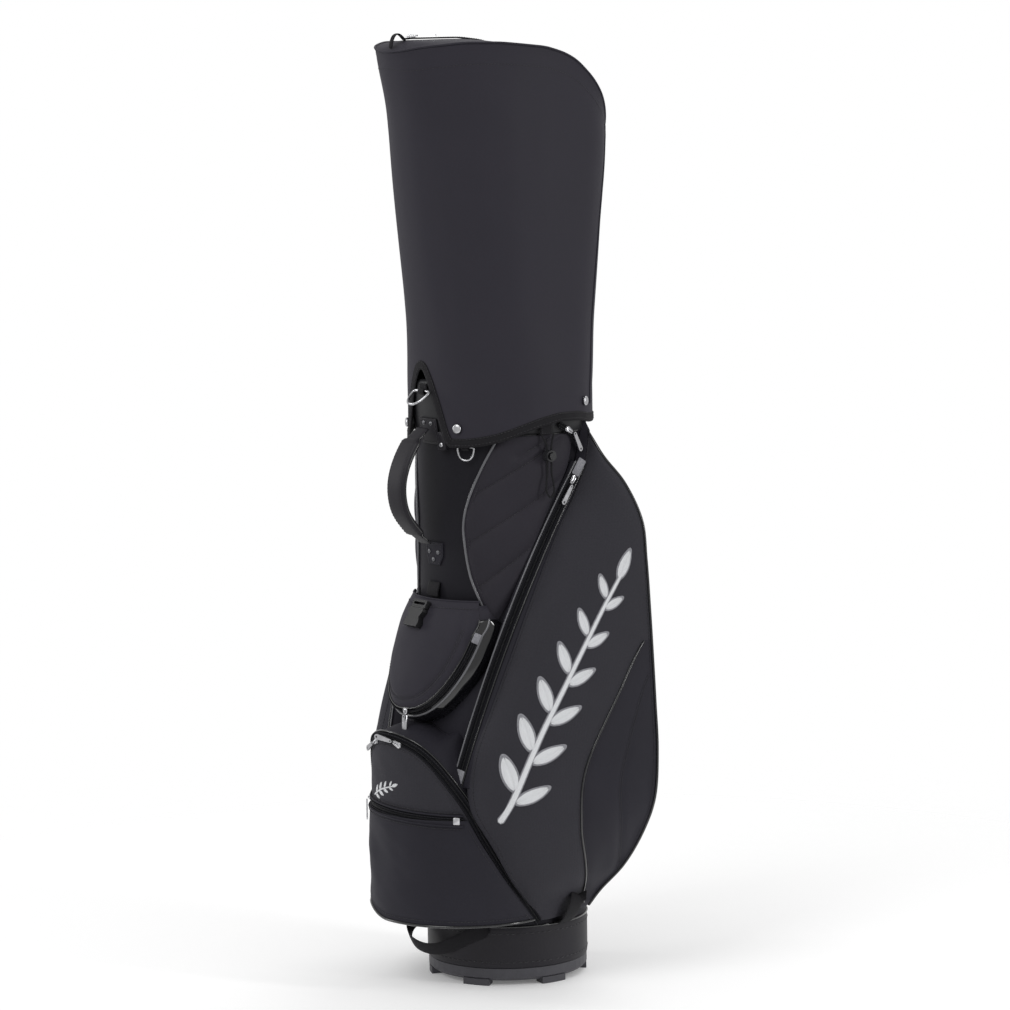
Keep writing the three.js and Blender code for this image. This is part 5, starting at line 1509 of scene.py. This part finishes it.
def build_pouch():
    """The glossy band from the lid back to the bag, the zip beside the lid, and the buckle's strap."""
    runs = even([(*pouch_edge(u, 1.5), math.sin(math.pi * u)) for u in np.linspace(0.015, 0.985, 200)], 3)
    face_line, back_line = [], []
    for x, z, low in runs:
        z_back = z - BAND_DROP * low ** 2
        radius = (panel_radius(z_back) if z_back < PANEL_TOP else tube_radius(z_back) + 1.5) + SKIN - 1.5
        back = -math.sqrt(max(radius ** 2 - x * x, 0))
        x_face = x * lid_share(z)
        face_line.append(vec(x_face, min(pouch_y(x_face, z, POUCH_RADIUS - 0.6), back - 1), z))
        back_line.append(vec(x * 0.985, back, z_back))
    face_line, back_line = np.array(face_line), np.array(back_line)
    depth = np.linspace(0, 1, 15)
    inwards = unit(back_line - face_line)
    away = unit(np.cross(unit(np.gradient(face_line, axis=0)), inwards))
    away *= np.sign(np.sum(away * (face_line - vec(0, -120, 470)), 1))[:, None]
    G = np.array([lerp(face_line, back_line, d) + away * (6.0 * math.sin(math.pi * d)) for d in depth])
    G = G + away[None] * (waves(G, 45, 63) * np.sin(np.pi * depth)[:, None])[..., None]
    middle = G.shape[1] // 2
    sheet("pouch_patent_band", G, 1.6, "bag", "patent", "pouch_gusset",
                    at=(7, middle), facing=away[middle])
    zip_path = (face_line + away * 3.0 + inwards * 5.8)[6:-6]
    zip_run("pouch_zip", zip_path, away[6:-6], 9.0, "bag")
    # The second rope, on the patent band, is a painted highlight: a lighter strip that stands in for the
    # band's glossy streak.
    for name, material, shift, radius, lift in (("pouch_piping", "piping", 0.2, 1.1, 0.9),
                                                ("pouch_band_painted_highlight", "bright_piping", 12.4, 1.6, 5.6)):
        line = even(face_line + away * lift + inwards * shift, 3)
        Parts().rope(line, radius, 8).build(name, "bag", material)
    tabs = Parts()
    for at, before, o in ((-3, -6, away[-9]), (2, 5, away[8])):
        down = unit(zip_path[at] - zip_path[before])
        garage(tabs, zip_path[at], unit(np.cross(o, down)), down, o, 11, 14, 1.6)
    tabs.build("pouch_garages", "bag", "silver_edge", slot="nickel")
    arc = Spline([(9, -168.6, 369), (10.5, -171.5, 360), (11, -172.5, 347), (11.5, -172.8, 338)])
    pull = Parts().rope(even(arc(np.linspace(0, 1, 30)), 1.5), 3.6, 10, flat=0.28, up=vec(0.3, -1, 0))
    pull.build("pouch_second_pull", "pouch_pull", "nickel")
    for name in ("buckle_body", "buckle_clip"):
        finish_node(name, "gloss_plastic", 0.8)
    belt = []
    for z in np.linspace(543, 524, 20):
        radius = tube_radius(z) + 1.0
        belt.append([vec(x, -math.sqrt(radius ** 2 - x * x) - 1.2 - 4.0 * smooth(z, 545, 528), z)
                     for x in np.linspace(-12.5, 12.5, 12)])
    sheet("buckle_strap", np.array(belt), 1.6, "bag", "webbing", "buckle_webbing", at=(10, 6),
          facing=FORWARD)


# ---------------------------------------------------------------- handle, rings, tabs
def build_handle():
    """The padded grip with flat ends, and the patches that hold it."""
    t = np.linspace(0, 1, 70)
    path = Spline([(0, -128, 750), (0, -147, 733), (0, -166, 700), (0, -172, 671), (0, -166, 640),
                   (0, -144, 611), (0, -127, 596)])(t)
    tangent = unit(np.gradient(path, axis=0))
    out = unit(np.cross(tangent, vec(1, 0, 0)))
    if out[35][1] > 0:
        out = -out
    full = smooth(t, 0.13, 0.17) * smooth(t, 0.87, 0.83)
    width = 13.5 + 5.5 * full
    thick = 2.2 + 3.4 * full
    turn = np.linspace(0, 2 * math.pi, 41)[:-1]
    P = []
    for p, o, w, h in zip(path, out, width, thick):
        c, s = np.cos(turn), np.sin(turn)
        x = np.sign(c) * np.abs(c) ** 0.62 * w
        y = np.sign(s) * np.abs(s) ** 0.75 * h
        P.append(p - o * 1.5 + x[:, None] * vec(1, 0, 0) + y[:, None] * o)
    n, m = len(P), len(turn)
    grip = Parts()
    uv = np.stack([np.tile(turn * 14, n), np.repeat(run_of(path), m)], 1)
    grip.add(np.concatenate(P), stack(n, m), uv)
    grip.build("grip", "handle", "leather", "handle_grip")
    rows, edge = Parts(), Parts()
    width, thick, middle = width[:, None], thick[:, None], path - out * 1.5
    for side in (1, -1):
        beside = even((middle + vec(side, 0, 0) * (width * 0.80) + out * thick * 0.78)[6:-6], 2)
        to, held = np.linspace(0, 1, len(beside)), np.linspace(0, 1, len(out) - 12)
        outs = np.stack([np.interp(to, held, column) for column in out[6:-6].T], 1)
        rows.stitches(beside, outs, 3.2, 1.6, 0.36, 0.12)
        edge.rope(even((middle + vec(side, 0, 0) * width)[3:-3], 3), 1.1, 8)
    rows.build("grip_stitches", "handle", "thread", slot="leather")
    edge.build("grip_edge", "handle", "piping", slot="leather")
    build_patch("upper", (762, 728), lambda z: 19, lambda z: lerp(112.8, 118.4, (z - 728) / 34), 2.4, 0.0,
                "leather", [(-8, 756), (8, 756)])
    build_patch("lower", (596, 566), lambda z: lerp(19, 13, float(smooth(z, 580, 566))),
                lambda z: tube_radius(z) + 0.8, 0.9, 1.4, "body_cloth", [(-10, 583), (0, 573), (10, 583)])


def build_patch(name, heights, half_at, radius_at, lift, sunk, material, pins):
    """The patch that holds one end of the handle, with its stitches and rivets."""
    on_tube = lambda x, z, high: -math.sqrt((radius_at(z) + high) ** 2 - x * x)
    P = np.array([[vec(x, on_tube(x, z, lift), z) for x in np.linspace(-half_at(z), half_at(z), 24)]
                  for z in np.linspace(*heights, 26)])
    sheet(f"handle_{name}_patch", P, 1.6, "bag", material, f"handle_strap_{name}",
          at=(12, 12), facing=FORWARD)
    ring = even(outline_of(P, 2), 2)
    rows = Parts().stitches(ring, radial(ring), 2.8, 1.4, 0.38, 0.2)
    rows.build(f"handle_{name}_stitches", "bag", "thread", slot="leather")
    rivets = Parts()
    for x, z in pins:
        centre = vec(x, on_tube(x, z, 2.4), z)
        dome(rivets, centre - radial(centre) * sunk, radial(centre), 3.2, 1.9)
    rivets.build(f"handle_{name}_rivets", "bag", "dark_metal")


def outline_of(P, inset):
    """The grid's points that run round it, `inset` rows from its edge."""
    a, b = inset, -inset - 1
    rows, cols = slice(a, -a), slice(a, -a)
    return np.vstack([P[rows, a], P[b, cols], P[rows, b][::-1], P[a, cols][::-1]])


def dome(parts, centre, out, radius, height, rings=6, sides=24):
    """A round domed cap with a short skirt."""
    side = unit(np.cross(out, UP))
    up = np.cross(out, side)
    turn = np.arange(sides) * 2 * math.pi / sides
    circle = np.outer(np.cos(turn), side) + np.outer(np.sin(turn), up)
    levels = [(1.0, -0.8), (1.0, 0.15)] + [(math.cos(a), 0.15 + 0.85 * math.sin(a))
                                          for a in np.linspace(0.15, 1.45, rings)]
    verts = [centre + out * rise * height + radius * reach * circle for reach, rise in levels]
    parts.add(np.concatenate(verts), stack(len(levels), sides))


def webbing_tab(name, heading, low, high, width, radius, replaces, lift=2.2):
    """A patch of webbing on the bag between two heights, with stitches round it."""
    half = width / 2 / radius / DEG
    P = np.array([[polar(radius + lift, heading + lerp(-half, half, u), lerp(high, low, v))
                   for u in np.linspace(0, 1, 10)] for v in np.linspace(0, 1, 14)])
    sheet(name, P, lift, "bag", "webbing", replaces, at=(7, 5))
    ring = even(outline_of(P, 1), 1.5)
    rows = Parts().stitches(ring, radial(ring), 2.2, 1.0, 0.33, 0.15)
    rows.build(name + "_stitches", "bag", "thread", slot="webbing")


def build_rings():
    """The two D rings, and the webbing that holds each one, looped over its wire."""
    rings = (("ring_large", -90, 799, 17.5, 25, 1.7, 126.6, 50, 6.5),
             ("ring_small", -59, 727, 11.5, 17.5, 1.3, 118, 0, 5.2))
    for name, heading, z, wide, high, wire, reach, tilt, _ in rings:
        pivot, out, side = polar(reach, heading, z), polar(1, heading, 0), polar(1, heading + 90, 0)
        down = out * math.sin(tilt * DEG) - UP * math.cos(tilt * DEG)
        outline = [(-0.9, 0.02), (-1.0, 0.1), (-0.98, 0.35), (-0.78, 0.72), (-0.42, 0.95), (0, 1.0),
                   (0.42, 0.95), (0.78, 0.72), (0.98, 0.35), (1.0, 0.1), (0.9, 0.02), (0.4, 0.0), (0, 0),
                   (-0.4, 0.0)]
        path = spline([pivot + side * wide * a + down * high * b for a, b in outline], 1.2, closed=True)
        ring = Parts().rope(path[:-1], wire, 12, closed=True, up=np.cross(side, down))
        ring.build(name + "_wire", name, "nickel", name)
    webbing_tab("ring_tab_large_strap", -90, 800, 809, 15, 124.2, "ring_tab_large")
    webbing_tab("ring_tab_small_strap", -59, 728, 741, 12, 117.6, "ring_tab_small")
    loop = Parts()
    for _, heading, z, _, _, _, reach, _, strap in reversed(rings):
        pivot, out = polar(reach, heading, z), polar(1, heading, 0)
        ways = [out * math.cos(a) + UP * math.sin(a) for a in np.linspace(-2.6, 1.6, 16)]
        loop.rope([pivot - UP + way * 3.4 for way in ways], strap, 12, flat=0.16, up=ways)
    loop.build("ring_loops", "bag", "webbing")
    webbing_tab("towel_tab_strap", -6, 742, 765, 18, 119.6, "towel_tab")
    # leather tab with a stud, below the hem near the front
    tab = round_section([(-7, -15), (7, -15), (7, 9), (-7, 9)], 3.5, 4)
    heading = -76
    out, side = polar(1, heading, 0), polar(1, heading + 90, 0)
    patch = Parts().prism(tab, -5.5, 1.4, placed(polar(120.6, heading, 737), side, -UP, out), 0.5)
    patch.build("front_tab", "bag", "leather")
    stud = Parts()
    dome(stud, polar(122.0, heading, 729), out, 3.0, 1.8)
    stud.build("front_tab_stud", "bag", "nickel")


# Half of the towel cord's loop, from the tab down to its lowest point: [radius, degrees, height].
CORD = [(121, -4.4, 741.5), (122.6, -2.6, 733), (124, -1.5, 726), (124, -1.5, 714), (124, -1.5, 702),
        (124, -1.5, 690), (125, -2.6, 676), (126, -2.4, 665), (126.4, 0, 659)]


def build_cord():
    halves = CORD + [(radius, -turn, z) for radius, turn, z in CORD[-2::-1]]
    path = spline([polar(radius, turn - 5, z) for radius, turn, z in halves], 1.5)
    cord = Parts().rope(path, 1.3, 12).build("towel_cord_braid", "bag", "cord", "towel_cord")
    return cord, float(run_of(path)[-1]) * MM, path


def hood_fittings():
    """The hood's zip: its track along the ridge, the slider, and the loop at the front."""
    ys = np.linspace(-144, 34, 70)
    path = even(np.array([vec(0, y, read(TOP_MIDDLE, y, 6) + 0.4) for y in ys]), 3)
    zip_run("hood_zip", path, np.repeat([UP], len(path), 0), 12, "hood", "hood_zip_track")
    slider_at("hood_zip_slider", vec(0, -136, 1262.4), vec(-1, 0, 0), vec(0, 1, 0), UP, 1.5, "hood_slider")
    loop = spline([(0, -147.5, 1261.6), (0, -152, 1266), (0, -157, 1268.6), (0, -162, 1267),
                   (0, -166, 1261), (0, -168, 1253)], 1.5)
    tangent = unit(np.gradient(loop, axis=0))
    strap = Parts().rope(loop, 4.5, 12, flat=0.2, up=np.cross(tangent, vec(1, 0, 0)))
    strap.build("hood_loop_strap", "hood", "webbing", "hood_pull_loop")


def base_loops():
    """The two webbing loops at the foot, as [radius, degrees, height] points."""
    for name, points, width, flat, level in (
            ("base_loop_front", [(110.6, -124, 76), (128, -120, 70), (137, -112, 60), (137, -103, 50),
                                 (130, -94, 45), (122.5, -84, 47), (116.5, -73, 57), (112.8, -62, 68),
                                 (111, -53, 76)], 10, 0.13, UP),
            ("base_loop_side", [(110.6, 4, 82.8), (119, 4.5, 84), (127, 5.5, 92), (132.5, 6.5, 104),
                                (134.5, 8, 114), (133, 10, 120.5), (130.5, 11, 115)], 12.5, 0.10,
             vec(-math.sin(8 * DEG), math.cos(8 * DEG), 0))):
        path = spline([polar(r, a, z) for r, a, z in points], 1.5)
        tangent = unit(np.gradient(path, axis=0))
        facing = np.cross(tangent, level)
        if name == "base_loop_front":
            lean = 0.55 * np.sin(np.linspace(0, 1, len(path)) * math.pi)[:, None]
            facing = unit(facing) + np.cross(tangent, unit(facing)) * lean
        strap = Parts().rope(path, width, 16, flat=flat, up=facing)
        strap.build(name + "_strap", "bag", "webbing", name)


def snaps():
    for name, heading, z in (("front_right", 27, 752), ("rear_right", 118, 781), ("front_left", -27, 752),
                             ("rear_left", -118, 781)):
        out = polar(1, heading - 90, 0)
        snap = Parts()
        dome(snap, out * (HOOD_RADIUS + 2.0) + UP * z, out, 6.2, 2.4, 7, 32)
        snap.build(f"snap_{name}", "hood", "nickel", f"hood_snap_{name}")


UPPER_ZIP = Arc(polar(119.5, 4.5, 753), polar(119.5, 17, 737), polar(120, 27, 716))


def upper_zip():
    path = UPPER_ZIP.path(2.5, -0.02, 1.0)
    zip_run("upper_zip", path, radial(path), 9, "bag", "upper_zip_track")
    arc_slider("upper_zip_slider", UPPER_ZIP, 0.28, 1, radial, 3.6, "upper_slider")


def other_sliders():
    heading = -127
    out, side = polar(1, heading, 0), polar(1, heading + 90, 0)
    at = polar(DOOR_INNER + SKIN + 0.8, heading, FRONT_TOP + 5.2) + vec(0, BALL_CENTRE_Y, 0)
    slider_at("front_zip_slider", at + UP * 3.7, -UP, side, out, 1.2, "front_slider", 7.5, 11)
    spot = Arc(vec(4, -169, 373.5), vec(72, -140, 398), vec(96, -92, 470)).point(0.03)
    out = radial(spot + vec(0, 62, 0))
    slider_at("pouch_zip_slider", spot + UP * 1.7, -unit(np.cross(UP, out)), -UP, out, 0.9, "pouch_slider",
              9, 8)


build_lid()
build_pouch()
build_handle()
build_rings()
towel_cord, towel_length, towel_path = build_cord()
hood_fittings()
base_loops()
snaps()
upper_zip()
other_sliders()
finish_node("cord_lock", "plastic", 0.7)
finish_node("cord_lock_button", "gloss_plastic", 0.6)
for pull in ("hood_zip_pull", "side_zip_pull_right", "side_zip_pull_left", "upper_zip_pull",
             "ball_zip_pull_right", "ball_zip_pull_left", "front_zip_pull", "pouch_zip_pull"):
    finish_node(pull, "nickel", 0.45)


# ---------------------------------------------------------------- floor and light
KEY_POWER, SIDE_POWER, LEFT_POWER, RIM_POWER, FILL = 34, 26, 13, 30, 0.55


def build_stage():
    size, clear_from, clear_to = 3.0, 0.35, 1.5
    mesh = bpy.data.meshes.new("floor")
    mesh.from_pydata([(-size, -size, 0), (size, -size, 0), (size, size, 0), (-size, size, 0)], [],
                     [(0, 1, 2, 3)])
    floor = bpy.data.objects.new("floor", mesh)
    bpy.context.scene.collection.objects.link(floor)
    pale = Nodes("floor").set(Roughness=0.7, Specular_IOR_Level=0.2, Emission_Strength=0.12)
    pale.colour((0.97, 0.97, 0.97), (0.98, 0.98, 0.98), pale.noise(0.8))
    away = pale.node("ShaderNodeVectorMath", **{"0": pale.coords.outputs["Object"]})
    away.operation = "LENGTH"
    pale.link(pale.node("ShaderNodeMapRange", Value=away.outputs["Value"],
                        **{"1": clear_from, "2": clear_to, "3": 1.0, "4": 0.0}).outputs[0],
              pale.shader.inputs["Alpha"])
    mesh.materials.append(pale.material)
    build_world()
    for name, azimuth, elevation, distance, size, power in (
            ("key", 14, 40, 3.2, 1.5, KEY_POWER), ("right", 118, 12, 3.0, 0.32, SIDE_POWER),
            ("left", -50, 14, 3.0, 0.35, LEFT_POWER), ("rim", 200, 50, 3.4, 2.0, RIM_POWER)):
        lamp = bpy.data.lights.new(name, "AREA")
        lamp.shape, lamp.size, lamp.size_y, lamp.energy = "RECTANGLE", size, max(size, 1.7), power
        light = bpy.data.objects.new(name, lamp)
        bpy.context.scene.collection.objects.link(light)
        a, e = azimuth * DEG, elevation * DEG
        back = Vector((math.sin(a) * math.cos(e), -math.cos(a) * math.cos(e), math.sin(e)))
        light.location = Vector((0, 0, 0.7)) + back * distance
        light.rotation_mode = "QUATERNION"
        light.rotation_quaternion = (-back).to_track_quat("-Z", "Y")
    bpy.context.scene.view_settings.view_transform = "Standard"


def build_world():
    """White to the camera, and a dimmer even light on the object."""
    world = bpy.data.worlds.new("studio")
    world.use_nodes = True
    tree = world.node_tree
    shown = tree.nodes["Background"]
    shown.inputs["Color"].default_value = (1, 1, 1, 1)
    shown.inputs["Strength"].default_value = 1.0
    light = tree.nodes.new("ShaderNodeBackground")
    light.inputs["Color"].default_value = (1, 1, 1, 1)
    light.inputs["Strength"].default_value = FILL
    ray = tree.nodes.new("ShaderNodeLightPath")
    mix = tree.nodes.new("ShaderNodeMixShader")
    tree.links.new(ray.outputs["Is Camera Ray"], mix.inputs["Fac"])
    tree.links.new(light.outputs[0], mix.inputs[1])
    tree.links.new(shown.outputs[0], mix.inputs[2])
    tree.links.new(mix.outputs[0], tree.nodes["World Output"].inputs["Surface"])
    bpy.context.scene.world = world


build_stage()
